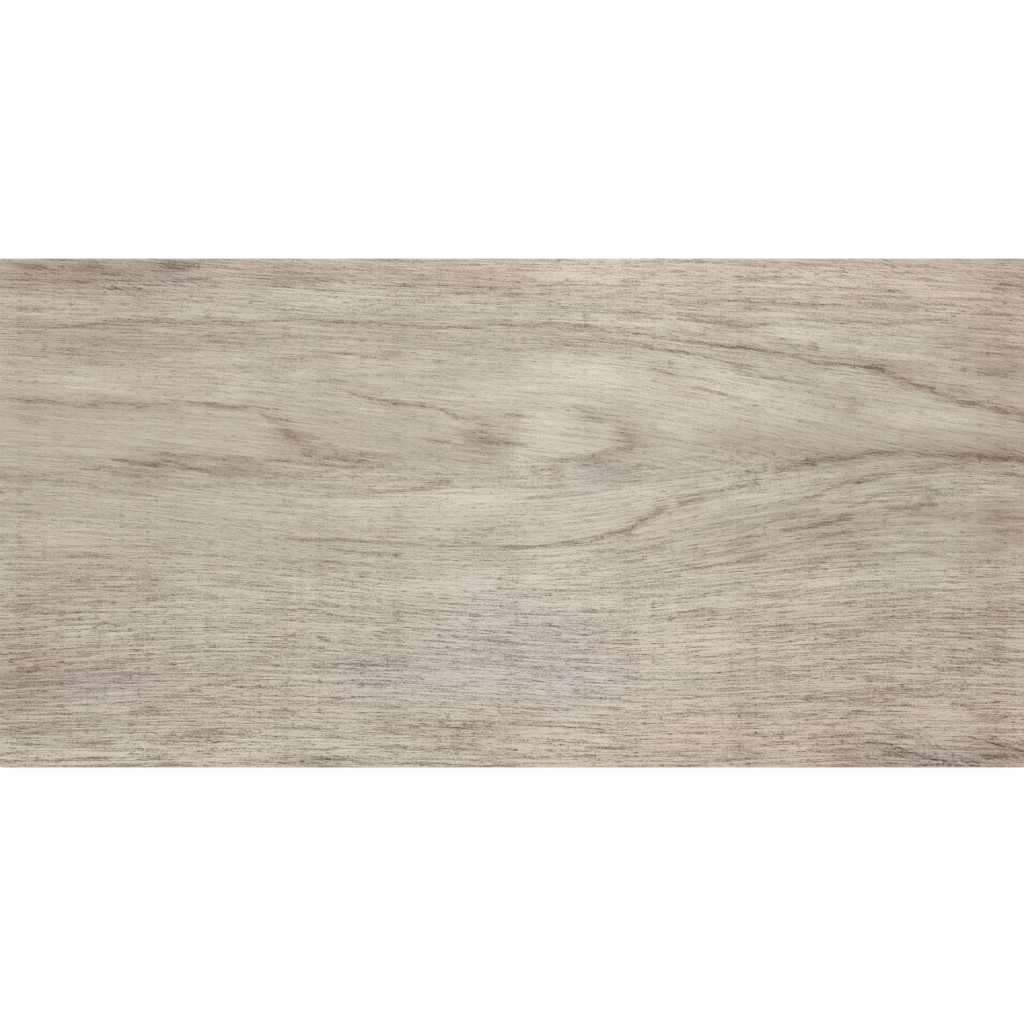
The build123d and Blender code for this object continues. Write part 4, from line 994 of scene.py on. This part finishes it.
straw_washes = (
    (0.55, 75, 103, 60, 9), (0.3, 12, 88, 26, 10), (0.35, 490, 94, 24, 6), (0.35, 130, 68, 28, 6),
    (0.35, 290, 92, 35, 6), (0.3, 425, 86, 25, 8), (0.35, 578, 140, 30, 7), (0.25, 30, 160, 35, 8),
    (0.2, 570, 262, 35, 7), (0.2, 205, 95, 30, 6), (0.2, 465, 180, 40, 10), (0.2, 585, 90, 20, 6),
    (0.2, 570, 10, 40, 10), (0.2, 440, 15, 40, 10), (0.3, 40, 70, 60, 16), (0.25, 110, 100, 40, 14),
    (0.15, 498, 98, 20, 6), (0.3, 450, 102, 30, 8), (0.3, 596, 60, 10, 60),
    (0.35, 596, 170, 10, 50), (0.3, 596, 250, 8, 30), (0.2, 40, 36, 30, 5),
)

# The lie of the fibres: lines that follow them from the left edge to the right one, as heights
# in millimetres from the top edge at every 46 mm along. The last of the upper ones and the
# first of the lower ones are the heart of the figure, where the two lies meet.
guide_step = 46.0
upper_lie = (
    (-14, -12, -8, -4, -1, 2, 4, 5, 5, 6, 7, 9, 11, 14),
    (24, 25, 26, 28, 31, 33, 34, 35, 38, 42, 46, 51, 55, 59),
    (56, 58, 60, 62, 65, 69, 72, 75, 80, 88, 98, 107, 116, 125),
    (85, 89, 92, 96, 102, 108, 114, 119, 125, 131, 137, 143, 150, 157),
    (118, 121, 125, 130, 136, 141, 145, 147, 150, 155, 160, 164, 168, 172),
)
lower_lie = (
    (112, 114, 119, 124, 128, 128, 128, 127, 122, 117, 112, 108, 106, 107),
    (148, 150, 154, 159, 163, 165, 166, 165, 157, 148, 140, 134, 131, 131),
    (176, 177, 178, 180, 184, 188, 190, 191, 190, 185, 180, 177, 176, 177),
    (207, 205, 204, 204, 206, 209, 212, 214, 214, 211, 207, 204, 203, 204),
    (236, 233, 231, 230, 231, 233, 236, 240, 242, 241, 238, 236, 236, 238),
    (268, 267, 266, 266, 267, 268, 269, 271, 273, 273, 272, 271, 271, 271),
    (300, 300, 299, 299, 299, 300, 300, 300, 301, 300, 298, 297, 300, 303),
)
heart_line = (118, 120, 121, 122, 122, 122, 122, 121, 120, 119, 117, 116, 117, 118)

# How much the short pores lean away from the long lines, downwards to the right: everywhere,
# and more or less round some middles, each with its reach along and across
pore_lean = 0.03
pore_leans = (
    (0.15, 50, 6, 80, 16), (0.05, 200, 6, 60, 14), (0.05, 390, 6, 60, 12), (0.11, 565, 10, 60, 18),
    (0.05, 500, 28, 60, 10), (-0.03, 60, 45, 70, 12), (0.04, 430, 52, 70, 14),
    (0.2, 598, 48, 34, 26), (0.05, 415, 68, 30, 12), (0.04, 160, 85, 30, 12),
    (0.12, 400, 126, 60, 9), (0.06, 335, 140, 30, 12), (0.09, 555, 128, 40, 9),
    (0.07, 320, 166, 50, 12), (0.08, 525, 168, 50, 12), (0.06, 400, 188, 40, 10),
    (0.05, 240, 228, 40, 10), (0.06, 370, 228, 30, 10), (-0.04, 465, 226, 40, 12),
    (0.05, 550, 228, 40, 10), (-0.05, 120, 248, 60, 10), (-0.05, 60, 290, 60, 10),
    (-0.15, 465, 289, 22, 10), (0.14, 560, 288, 40, 10), (0.25, 590, 288, 26, 12),
)
# Either side of the heart line, the two lies blend over this breadth
heart_blend = 26.0
# How strong the fine texture is, from the top edge to the bottom one
coarse_heights = (0, 33, 56, 79, 102, 125, 148, 172, 195, 218, 264, 297)
coarse_there = (0.88, 0.8, 0.68, 0.54, 0.46, 0.74, 0.6, 0.8, 1.08, 1.24, 1.25, 1.4)
# and by how much more or less in some places
coarse_patches = (
    (-0.1, 60, 102, 90, 14), (0.15, 275, 103, 15, 10), (-0.1, 300, 78, 60, 12),
    (0.12, 420, 55, 22, 8), (0.12, 500, 147, 50, 10), (0.1, 180, 190, 32, 14),
    (0.12, 530, 288, 55, 10), (-0.12, 445, 288, 40, 8),
)


# Streaks that reach these places along the face run on past its edge, and don't fade there
runs_off_left, runs_off_right = 1, 597
# Streaks of one layer are at least this far apart, along and across
clear_along, clear_across = 5.0, 2.0
# The ink of a streak ends this far past its breadth, and its offsets a little further out
skirt, beyond = 1.5, 1.2
# The offset of a place that no streak is near
no_streak = 9.0


def fade_of(x, xs, longest=5.0):
    """How a streak fades in and out at its two ends."""
    fade = min(longest, (xs[-1] - xs[0]) / 3)
    start = np.clip((x - xs[0]) / fade, 0, 1) if xs[0] > runs_off_left else 1.0
    stop = np.clip((xs[-1] - x) / fade, 0, 1) if xs[-1] < runs_off_right else 1.0
    return np.sin(start * stop * math.pi / 2)


def tone_of(streaks, across, down, wider=1.0, longest_fade=5.0):
    """Adds up soft-edged streaks at each place of the face, in millimetres."""
    total = np.zeros(len(across))
    for depth, breadth, *points in streaks:
        breadth = breadth * wider
        xs, ys = np.array(sorted(points), float).T
        near = (across > xs[0]) & (across < xs[-1])
        near &= (down > ys.min() - 2 * breadth - 1) & (down < ys.max() + 2 * breadth + 1)
        x, y = across[near], down[near]
        off = (y - np.interp(x, xs, ys)) / (breadth / 2)
        total[near] += depth * fade_of(x, xs, longest_fade) * np.exp(-0.7 * off * off)
    return total


def apart(xs, ys, other_xs, other_ys):
    """The least height between two streaks where they run side by side or end near each other."""
    first = max(xs[0], other_xs[0]) - clear_along
    last = min(xs[-1], other_xs[-1]) + clear_along
    if first > last:
        return math.inf
    at = np.linspace(first, last, num=9)
    return np.abs(np.interp(at, xs, ys) - np.interp(at, other_xs, other_ys)).min()


def layers_of(streaks, across, down, count):
    """Lays streaks out in layers, each of which holds streaks that are clear of one another. A
    layer tells each place how far off the middle of its streak it is, in half breadths, and how
    dark the streak is there, so that a thin streak stays crisp between the corners of the mesh."""
    laid = [[] for _ in range(count)]
    off = np.full((count, len(across)), no_streak)
    deep = np.zeros((count, len(across)))
    for depth, breadth, *points in sorted(streaks, reverse=True):
        xs, ys = np.array(sorted(points), float).T
        for layer in range(count):
            if all(
                apart(xs, ys, *other) > (breadth + wide) / 2 + clear_across
                for wide, *other in laid[layer]
            ):
                break
        laid[layer].append((breadth, xs, ys))
        reach = breadth + skirt
        near = (across > xs[0] - clear_along) & (across < xs[-1] + clear_along)
        near &= (down > ys.min() - reach - beyond) & (down < ys.max() + reach + beyond)
        near = np.flatnonzero(near)
        x = across[near]
        gap = down[near] - np.interp(x, xs, ys)
        dark = depth * fade_of(x, xs) * np.clip(reach - np.abs(gap), 0, 1)
        bare = (off[layer, near] == no_streak) & (np.abs(gap) < reach + beyond)
        free = (dark > deep[layer, near]) | bare
        off[layer, near[free]] = gap[free] / (breadth / 2)
        deep[layer, near[free]] = dark[free]
    return off, deep


def spread_of(patches, across, down):
    """Adds up soft round patches at each place of the face, in millimetres."""
    total = np.zeros(len(across))
    for amount, x, y, reach_x, reach_y in patches:
        total += amount * np.exp(-(((across - x) / reach_x) ** 2) - ((down - y) / reach_y) ** 2)
    return total


def lie_at(lines, across, down, nominal):
    """The grain's own measure across the face: the heights of the lines, read as evenly spaced."""
    knots = np.arange(len(lines[0])) * guide_step
    heights = np.array([np.interp(across, knots, line) for line in lines])
    measure = np.empty(len(across))
    below = heights[0] > down
    measure[below] = nominal[0] + (down - heights[0])[below]
    for k in range(len(lines) - 1):
        between = (down >= heights[k]) & (down < heights[k + 1])
        share = (down - heights[k])[between] / (heights[k + 1] - heights[k])[between]
        measure[between] = nominal[k] + share * (nominal[k + 1] - nominal[k])
    above = down >= heights[-1]
    measure[above] = nominal[-1] + (down - heights[-1])[above]
    return measure


def lean_at(lines, across, down):
    """How steeply the fibres fall to the right, as millimetres down for each one along."""
    knots = np.arange(len(lines[0])) * guide_step
    slopes = [np.gradient(np.array(line, float), guide_step) for line in lines]
    heights = np.array([np.interp(across, knots, line) for line in lines])
    leans = np.array([np.interp(across, knots, slope) for slope in slopes])
    lean = leans[0].copy()
    for k in range(len(lines) - 1):
        share = np.clip((down - heights[k]) / (heights[k + 1] - heights[k]), 0, 1)
        lean += share * (leans[k + 1] - leans[k])
    return lean


def lower_share(across, down):
    """How far a place belongs to the lower lie: nought above the heart line and one below it."""
    heart = np.interp(across, np.arange(len(heart_line)) * guide_step, heart_line)
    share = np.clip((down - heart) / heart_blend + 0.5, 0, 1)
    return share * share * (3 - 2 * share)


def straightened(across, down, centres):
    """Places across the face with the fibres' lean taken out, reckoned from the nearest centre."""
    centre = centres[np.abs(across[:, None] - centres[None]).argmin(1)]
    steps = 6
    height = down.copy()
    stride = (centre - across) / steps
    x = across.copy()
    share = lower_share(across, down)
    own_lean = pore_lean + spread_of(pore_leans, across, down)
    for _ in range(steps):
        upper = lean_at(upper_lie, x, height)
        lower = lean_at(lower_lie, x, height)
        height += (upper + share * (lower - upper) + own_lean) * stride
        x += stride
    return height


places = corners_of(tile)
from_left = np.clip((places[:, 0] - low.x) * 1000, 0, length * 1000)
from_top = np.clip((high.y - places[:, 1]) * 1000, 0, width * 1000)
halo = tone_of(umber_streaks, from_left, from_top, wider=2.2)
halo += tone_of(steep_streaks, from_top, from_left, wider=1.8)
pale = tone_of(pale_streaks, from_left, from_top, wider=1.3)
limbs = tone_of(steep_streaks, from_top, from_left, longest_fade=3.0)

# What the glaze's material reads at every corner of the mesh. The fibres' lean is reckoned
# in windows of this breadth, in two sets that lie half a window apart.
window = 240.0
windows = np.arange(4) * window
upper_nominal = [sum(line) / len(line) for line in upper_lie]
lower_nominal = [sum(line) / len(line) for line in lower_lie]
most_wash, most_ink = 1.2, 1.3
inks = {
    "rose": np.clip(spread_of(rose_washes, from_left, from_top), 0, most_wash),
    "violet": np.clip(spread_of(violet_washes, from_left, from_top), 0, most_wash),
    "straw": np.clip(spread_of(straw_washes, from_left, from_top), 0, most_wash),
    "broad": spread_of(soft_tones, from_left, from_top),
    "steep": np.clip(limbs, 0, most_ink),
    "halo": np.clip(halo, 0, most_ink),
    "pale": np.clip(pale, 0, 1),
    "upper": lie_at(upper_lie, from_left, from_top, upper_nominal),
    "lower": lie_at(lower_lie, from_left, from_top, lower_nominal),
    "side": lower_share(from_left, from_top),
    "coarse": np.interp(from_top, coarse_heights, coarse_there)
    + spread_of(coarse_patches, from_left, from_top),
    "fibre_even": straightened(from_left, from_top, windows),
    "fibre_odd": straightened(from_left, from_top, windows - window / 2),
}
streak_layers = 3
for kind, streaks in (("umber", umber_streaks), ("grey", grey_streaks)):
    off, deep = layers_of(streaks, from_left, from_top, streak_layers)
    for layer in range(streak_layers):
        inks[f"{kind}_off_{layer}"] = off[layer]
        inks[f"{kind}_deep_{layer}"] = deep[layer]
for name, values in inks.items():
    layer = tile.data.attributes.new(name, "FLOAT", "POINT")
    layer.data.foreach_set("value", values.astype(np.float32))

# Shallow relief of the glaze over the dark grain, which dies away towards the arris
relief_depth, relief_margin = 0.00006, 0.002
on_face = places[:, 2] > thickness - same_place
edge_gap = np.minimum(half_long - np.abs(places[:, 0]), half_wide - np.abs(places[:, 1]))
sunk = np.clip(halo - 0.5 * pale, 0, 1) * np.clip(edge_gap / relief_margin, 0, 1)
places[on_face, 2] -= relief_depth * sunk[on_face]
tile.data.vertices.foreach_set("co", places.astype(np.float32).ravel())
tile.data.update()


def linear(code):
    """An sRGB hex colour as the linear colour that Blender reads."""
    parts = [int(code[i : i + 2], 16) / 255 for i in (1, 3, 5)]
    return [p / 12.92 if p <= 0.04045 else ((p + 0.055) / 1.055) ** 2.4 for p in parts] + [1.0]


def node(material, kind, settings=None, inputs=None):
    """Adds a node with its settings, and sets its inputs or links them to a node or a socket."""
    made = material.node_tree.nodes.new(kind)
    for name, value in (settings or {}).items():
        setattr(made, name, value)
    for name, value in (inputs or {}).items():
        if isinstance(value, bpy.types.Node):
            value = value.outputs[0]
        if isinstance(value, bpy.types.NodeSocket):
            material.node_tree.links.new(value, made.inputs[name])
        else:
            made.inputs[name].default_value = value
    return made


# Matt glaze over a printed oak grain. The eye gets a pale greige wood with brown and grey
# growth lines, broken by short dark pores and fine fibres, and a soft sheen with no mirror.
glaze = bpy.data.materials.new("matt_glazed_oak_print")
glaze.use_nodes = True
glaze.node_tree.nodes.clear()
ink = {
    name: node(glaze, "ShaderNodeAttribute", {"attribute_name": name}).outputs["Fac"]
    for name in inks
}
place = node(glaze, "ShaderNodeTexCoord").outputs["Object"]
axes = node(glaze, "ShaderNodeSeparateXYZ", None, {0: place}).outputs

# The fibres change from one set of windows to the other along a ragged line, which strays by
# up to 60 mm from one millimetre of height to the next
ragged_mm = 60.0
first_turn = length * 500 + window / 4 - ragged_mm / 2
ragged = node(
    glaze,
    "ShaderNodeTexNoise",
    {"noise_dimensions": "1D"},
    {"W": axes[1], "Scale": 900.0, "Detail": 1.0},
)
strayed = node(
    glaze,
    "ShaderNodeMath",
    {"operation": "MULTIPLY_ADD"},
    {0: ragged, 1: ragged_mm / 1000, 2: axes[0]},
)
turn = node(
    glaze,
    "ShaderNodeMath",
    {"operation": "MULTIPLY_ADD"},
    {0: strayed, 1: 1000 / window, 2: first_turn / window},
)
turn = node(glaze, "ShaderNodeMath", {"operation": "FRACT"}, {0: turn})
is_odd = node(glaze, "ShaderNodeMath", {"operation": "GREATER_THAN"}, {0: turn, 1: 0.5})
sets = {0: is_odd, 2: ink["fibre_even"], 3: ink["fibre_odd"]}
fibre = node(glaze, "ShaderNodeMix", {"data_type": "FLOAT"}, sets)

# The texture, layer by layer. Each has its length along the grain and its height across it in
# millimetres, whether it follows the growth lines or the fibres, how many finer copies it has,
# where its noise starts, and the noise at which it is bare and the noise at which it is full.
# A vein runs where its noise is near the middle, so for the veins these are how far off it is.
# Real pores are finer than the picture can show, so the pores, the flecks and the dashes are
# drawn as coarse as they need to show, about a pixel of the photograph high.
texture = {
    "growth veins": (70.0, 1.8, "lines", 0.0, 3.0, 0.09, 0.0),
    "rows": (70.0, 1.7, "lines", 0.0, 105.0, 0.36, 0.62),
    "fibre veins": (22.0, 1.4, "fibre", 0.0, 7.0, 0.10, 0.0),
    "strands": (30.0, 0.85, "lines", 0.0, 11.0, 0.42, 0.76),
    "dashes": (9.0, 0.75, "fibre", 1.0, 23.0, 0.42, 0.76),
    "flecks": (1.2, 0.65, "fibre", 0.0, 37.0, 0.34, 0.72),
    "pores": (5.0, 0.7, "fibre", 0.0, 67.0, 0.59, 0.78),
    "tinge": (14.0, 2.5, "fibre", 2.0, 59.0, 0.30, 0.70),
    "breaks": (5.0, 0.9, "fibre", 1.0, 83.0, 0.34, 0.64),
    "gaps": (26.0, 3.0, "fibre", 0.0, 97.0, 0.25, 0.50),
    "stray": (8.0, 1.1, "fibre", 2.0, 71.0, 0.0, 1.0),
    "clouds": (45.0, 6.0, "lines", 2.0, 51.0, 0.20, 0.80),
}
printed = {}
for name, (long_mm, high_mm, follows, finer, start, bare, full) in texture.items():
    to_along = {0: axes[0], 1: 1000 / long_mm}
    along = node(glaze, "ShaderNodeMath", {"operation": "MULTIPLY"}, to_along)
    noises = []
    for lines in (ink["upper"], ink["lower"]) if follows == "lines" else (fibre,):
        across = node(glaze, "ShaderNodeMath", {"operation": "DIVIDE"}, {0: lines, 1: high_mm})
        start += 4.0
        at = node(glaze, "ShaderNodeCombineXYZ", None, {0: along, 1: across, 2: start})
        shape = {"Vector": at, "Scale": 1.0, "Detail": finer}
        noises.append(node(glaze, "ShaderNodeTexNoise", None, shape))
    if follows == "lines":
        sides = {0: ink["side"], 2: noises[0].outputs[0], 3: noises[1].outputs[0]}
        noises.append(node(glaze, "ShaderNodeMix", {"data_type": "FLOAT"}, sides))
    if "veins" in name:
        off = node(glaze, "ShaderNodeMath", {"operation": "SUBTRACT"}, {0: noises[-1], 1: 0.5})
        noises.append(node(glaze, "ShaderNodeMath", {"operation": "ABSOLUTE"}, {0: off}))
    printed[name] = node(
        glaze,
        "ShaderNodeMapRange",
        {"interpolation_type": "SMOOTHSTEP"},
        {"Value": noises[-1], "From Min": bare, "From Max": full, "To Min": 0.0, "To Max": 1.0},
    )

# How much ink each layer of the fine grain lays down, less the mean of them all. The short
# marks come in rows along the growth lines, strong in one row and weak in the next.
add_share = {"operation": "MULTIPLY_ADD"}
rows = node(glaze, "ShaderNodeMath", add_share, {0: printed["rows"], 1: 0.7, 2: 0.58})
spots = 0.0
for name, depth in (("dashes", 0.3), ("pores", 0.55), ("fibre veins", 0.24)):
    spots = node(glaze, "ShaderNodeMath", add_share, {0: printed[name], 1: depth, 2: spots})
fine = node(glaze, "ShaderNodeMath", {"operation": "MULTIPLY"}, {0: spots, 1: rows})
for name, depth in (("growth veins", 0.32), ("rows", 0.05), ("strands", 0.22)):
    fine = node(glaze, "ShaderNodeMath", add_share, {0: printed[name], 1: depth, 2: fine})
dotted = node(glaze, "ShaderNodeMath", add_share, {0: printed["flecks"], 1: 0.65, 2: 0.65})
mottle = node(glaze, "ShaderNodeMath", {"operation": "MULTIPLY"}, {0: fine, 1: dotted})
fine = node(glaze, "ShaderNodeMath", add_share, {0: printed["flecks"], 1: 0.13, 2: -0.375})
fine = node(glaze, "ShaderNodeMath", {"operation": "ADD"}, {0: mottle, 1: fine})

# The streaks are rows of dashes with ragged edges. The breaks and the gaps take the same depth
# of ink off them all, which cuts a weak streak to pieces and leaves a dark one whole.
lost = {0: printed["breaks"], 1: printed["gaps"]}
lost = node(glaze, "ShaderNodeMath", {"operation": "MULTIPLY"}, lost)
lost = node(glaze, "ShaderNodeMath", add_share, {0: lost, 1: 0.5, 2: -0.5})
stray = node(glaze, "ShaderNodeMath", add_share, {0: printed["stray"], 1: 3.0, 2: -1.5})
limbs = node(glaze, "ShaderNodeMath", add_share, {0: lost, 1: ink["steep"], 2: ink["steep"]})
drawn = {"umber": limbs, "grey": 0.0}
for kind in drawn:
    for layer in range(streak_layers):
        off, deep = ink[f"{kind}_off_{layer}"], ink[f"{kind}_deep_{layer}"]
        off = node(glaze, "ShaderNodeMath", {"operation": "ADD"}, {0: off, 1: stray})
        off = node(glaze, "ShaderNodeMath", {"operation": "MULTIPLY"}, {0: off, 1: off})
        off = node(glaze, "ShaderNodeMath", {"operation": "MULTIPLY"}, {0: off, 1: -1.5})
        shape = node(glaze, "ShaderNodeMath", {"operation": "EXPONENT"}, {0: off})
        deep = node(glaze, "ShaderNodeMath", add_share, {0: deep, 1: 1.28, 2: lost})
        deep = node(glaze, "ShaderNodeMath", {"operation": "MAXIMUM"}, {0: deep, 1: 0.0})
        laid = {0: shape, 1: deep, 2: drawn[kind]}
        drawn[kind] = node(glaze, "ShaderNodeMath", add_share, laid)
    laid = {0: drawn[kind], 1: dotted}
    drawn[kind] = node(glaze, "ShaderNodeMath", {"operation": "MULTIPLY"}, laid)
cut, grey_cut = drawn["umber"], drawn["grey"]

# Round each streak the fine grain itself is browner and darker
mottle = node(glaze, "ShaderNodeMath", add_share, {0: mottle, 1: 2.4, 2: 0.2})
shade = node(glaze, "ShaderNodeMath", {"operation": "MULTIPLY"}, {0: ink["halo"], 1: mottle})

# How deep the two inks lie, the brown umber and the grey slate, by what draws them
umber = -0.03
umber_from = ((cut, 0.29), (shade, 0.19), (ink["broad"], 0.21), (printed["clouds"], 0.04))
for source, depth in umber_from:
    umber = node(glaze, "ShaderNodeMath", add_share, {0: source, 1: depth, 2: umber})
slate = node(glaze, "ShaderNodeMath", add_share, {0: fine, 1: ink["coarse"], 2: 0.3})
slate_from = ((grey_cut, 0.54), (cut, 0.2), (ink["pale"], -0.17), (ink["broad"], 0.2))
for source, depth in slate_from:
    slate = node(glaze, "ShaderNodeMath", add_share, {0: source, 1: depth, 2: slate})
slate = node(glaze, "ShaderNodeMath", {"operation": "SMOOTH_MAX"}, {0: slate, 1: 0.02, 2: 0.12})

# The glaze itself, washed with rose, violet and straw, then printed with the two inks, each of
# which lets less light through the deeper it lies
rosy = node(glaze, "ShaderNodeMath", add_share, {0: ink["halo"], 1: 0.15, 2: ink["rose"]})
rosy = node(glaze, "ShaderNodeMath", add_share, {0: printed["tinge"], 1: 0.3, 2: rosy})
colour = linear("#DAD4C0")
for share, strength, wash in (
    (rosy, 0.65, "#E6D0BD"),
    (ink["violet"], 0.85, "#DAD4D0"),
    (ink["straw"], 0.8, "#DDD7B8"),
):
    share = node(glaze, "ShaderNodeMath", {"operation": "MULTIPLY"}, {0: share, 1: strength})
    laid = {0: share, 6: colour, 7: linear(wash)}
    colour = node(glaze, "ShaderNodeMix", {"data_type": "RGBA"}, laid).outputs[2]
for let_through, depth in (("#A39691", umber), ("#A19992", slate)):
    coat = {"Color": linear(let_through), "Gamma": depth}
    laid = {0: 1.0, 6: colour, 7: node(glaze, "ShaderNodeGamma", None, coat)}
    colour = node(
        glaze, "ShaderNodeMix", {"data_type": "RGBA", "blend_type": "MULTIPLY"}, laid
    ).outputs[2]

# Where more ink lies the glaze is a little lower, and it is duller over the strands
ink_depth = node(glaze, "ShaderNodeMath", {"operation": "ADD"}, {0: umber, 1: slate})
relief = node(
    glaze,
    "ShaderNodeBump",
    {"invert": True},
    {"Strength": 0.2, "Distance": relief_depth, "Height": ink_depth},
)
sheen = node(
    glaze,
    "ShaderNodeMapRange",
    None,
    {"Value": printed["strands"], "From Min": 0.0, "From Max": 1.0, "To Min": 0.54, "To Max": 0.7},
)
glazed = node(
    glaze,
    "ShaderNodeBsdfPrincipled",
    None,
    {"Base Color": colour, "Roughness": sheen, "IOR": 1.5, "Normal": relief},
)
node(glaze, "ShaderNodeOutputMaterial", None, {"Surface": glazed})

# Pressed porcelain body, unglazed. The eye gets a chalky warm grey with fine specks of
# darker grit and faint cloudiness, and no sheen.
body = bpy.data.materials.new("pressed_porcelain_body")
body.use_nodes = True
body.node_tree.nodes.clear()
# Grains of grit 0.6 mm apart, and 28 clouds to the metre
grit_scale, cloud_scale = 1000 / 0.625, 28.0
place = node(body, "ShaderNodeTexCoord").outputs["Object"]
grit = node(
    body,
    "ShaderNodeTexNoise",
    None,
    {"Vector": place, "Scale": grit_scale, "Detail": 3.0, "Roughness": 0.65},
).outputs[0]
cloud = node(
    body, "ShaderNodeTexNoise", None, {"Vector": place, "Scale": cloud_scale, "Detail": 3.0}
).outputs[0]
specks = node(
    body,
    "ShaderNodeMapRange",
    {"interpolation_type": "SMOOTHSTEP"},
    {"Value": grit, "From Min": 0.56, "From Max": 0.72, "To Min": 0.0, "To Max": 0.35},
).outputs[0]
chalk = node(
    body,
    "ShaderNodeMix",
    {"data_type": "RGBA"},
    {0: cloud, 6: linear("#B3A894"), 7: linear("#C4BAA8")},
).outputs[2]
speckled = node(
    body, "ShaderNodeMix", {"data_type": "RGBA"}, {0: specks, 6: chalk, 7: linear("#8F8574")}
).outputs[2]
grit_depth = 0.00015
pressed = node(
    body, "ShaderNodeBump", None, {"Strength": 0.3, "Distance": grit_depth, "Height": grit}
).outputs[0]
clay = node(
    body,
    "ShaderNodeBsdfPrincipled",
    None,
    {"Base Color": speckled, "Roughness": 0.88, "IOR": 1.5, "Normal": pressed},
)
node(body, "ShaderNodeOutputMaterial", None, {"Surface": clay.outputs[0]})

# The glaze covers the face and the arris, and the body shows below it
tile.data.materials.clear()
tile.data.materials.append(glaze)
tile.data.materials.append(body)
middles = np.empty(len(tile.data.polygons) * 3, np.float32)
tile.data.polygons.foreach_get("center", middles)
bare = middles.reshape(-1, 3)[:, 2] < thickness - arris_radius
tile.data.polygons.foreach_set("material_index", bare.astype(np.int32))
tile.data.update()
bpy.ops.object.select_all(action="DESELECT")
tile.select_set(True)
bpy.context.view_layer.objects.active = tile
bpy.ops.object.shade_smooth_by_angle(angle=math.radians(32))

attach(tile, "root")
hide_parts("tile")


# ---- The floor, the light and the camera
# A plain white floor that keeps the tile's soft shadow, a broad soft lamp, and an even white
# surround. The camera looks straight down, with the length of the tile across its frame.
bpy.ops.mesh.primitive_plane_add(size=8, location=(0, 0, 0))
floor = bpy.context.object
floor.name = "floor"
paper = bpy.data.materials.new("white_floor")
paper.use_nodes = True
paper.node_tree.nodes.clear()
floor.data.materials.append(paper)

world = bpy.context.scene.world or bpy.data.worlds.new("surround")
bpy.context.scene.world = world
world.use_nodes = True
world.node_tree.nodes.clear()

# Both look whiter where the camera sees them, straight or in a reflection, than where they
# only light the tile
looks = {}
for backdrop in (paper, world):
    rays = node(backdrop, "ShaderNodeLightPath").outputs
    seen = rays["Is Camera Ray"]
    for ray in ("Is Glossy Ray", "Is Transmission Ray"):
        seen = node(backdrop, "ShaderNodeMath", {"operation": "MAXIMUM"}, {0: seen, 1: rays[ray]})
    looks[backdrop] = seen
lit = node(paper, "ShaderNodeBsdfDiffuse", None, {"Color": linear("#A0A0A0")})
glow = node(paper, "ShaderNodeEmission", None, {"Color": linear("#FFFFFF"), "Strength": 0.83})
glowing = node(paper, "ShaderNodeAddShader", None, {0: lit, 1: glow})
either = node(paper, "ShaderNodeMixShader", None, {0: looks[paper], 1: lit, 2: glowing})
node(paper, "ShaderNodeOutputMaterial", None, {"Surface": either})
white = linear("#FFFFFF")
around = node(world, "ShaderNodeBackground", None, {"Color": white, "Strength": 0.6})
behind = node(world, "ShaderNodeBackground", None, {"Color": white, "Strength": 1.0})
sky = node(world, "ShaderNodeMixShader", None, {0: looks[world], 1: around, 2: behind})
node(world, "ShaderNodeOutputWorld", None, {"Surface": sky})

lamp = bpy.data.lights.new("soft_lamp", "AREA")
lamp.shape = "RECTANGLE"
lamp.size, lamp.size_y = 1.8, 1.2
lamp.energy = 26.0
lamp_object = bpy.data.objects.new("soft_lamp", lamp)
bpy.context.scene.collection.objects.link(lamp_object)
lamp_object.location = (-0.9, 1.4, 2.0)
lamp_object.rotation_euler = (math.radians(-35), math.radians(-22), 0)

# The photograph is as wide as the tile is long, but for a thousandth, and the tile's middle
# is about a pixel below the middle of the picture
lens_mm, film_mm = 120.0, 36.0
seen_width = length * 0.999
pixel_size, pixels_down = 0.000584, 0.95
camera_data = bpy.data.cameras.new("camera")
camera_data.lens = lens_mm
camera_data.sensor_width = film_mm
camera = bpy.data.objects.new("camera", camera_data)
bpy.context.scene.collection.objects.link(camera)
camera.location = (0, pixels_down * pixel_size, thickness + seen_width * lens_mm / film_mm)
camera.rotation_euler = (0, 0, 0)
bpy.context.scene.camera = camera

scene = bpy.context.scene
scene.view_settings.view_transform = "Standard"
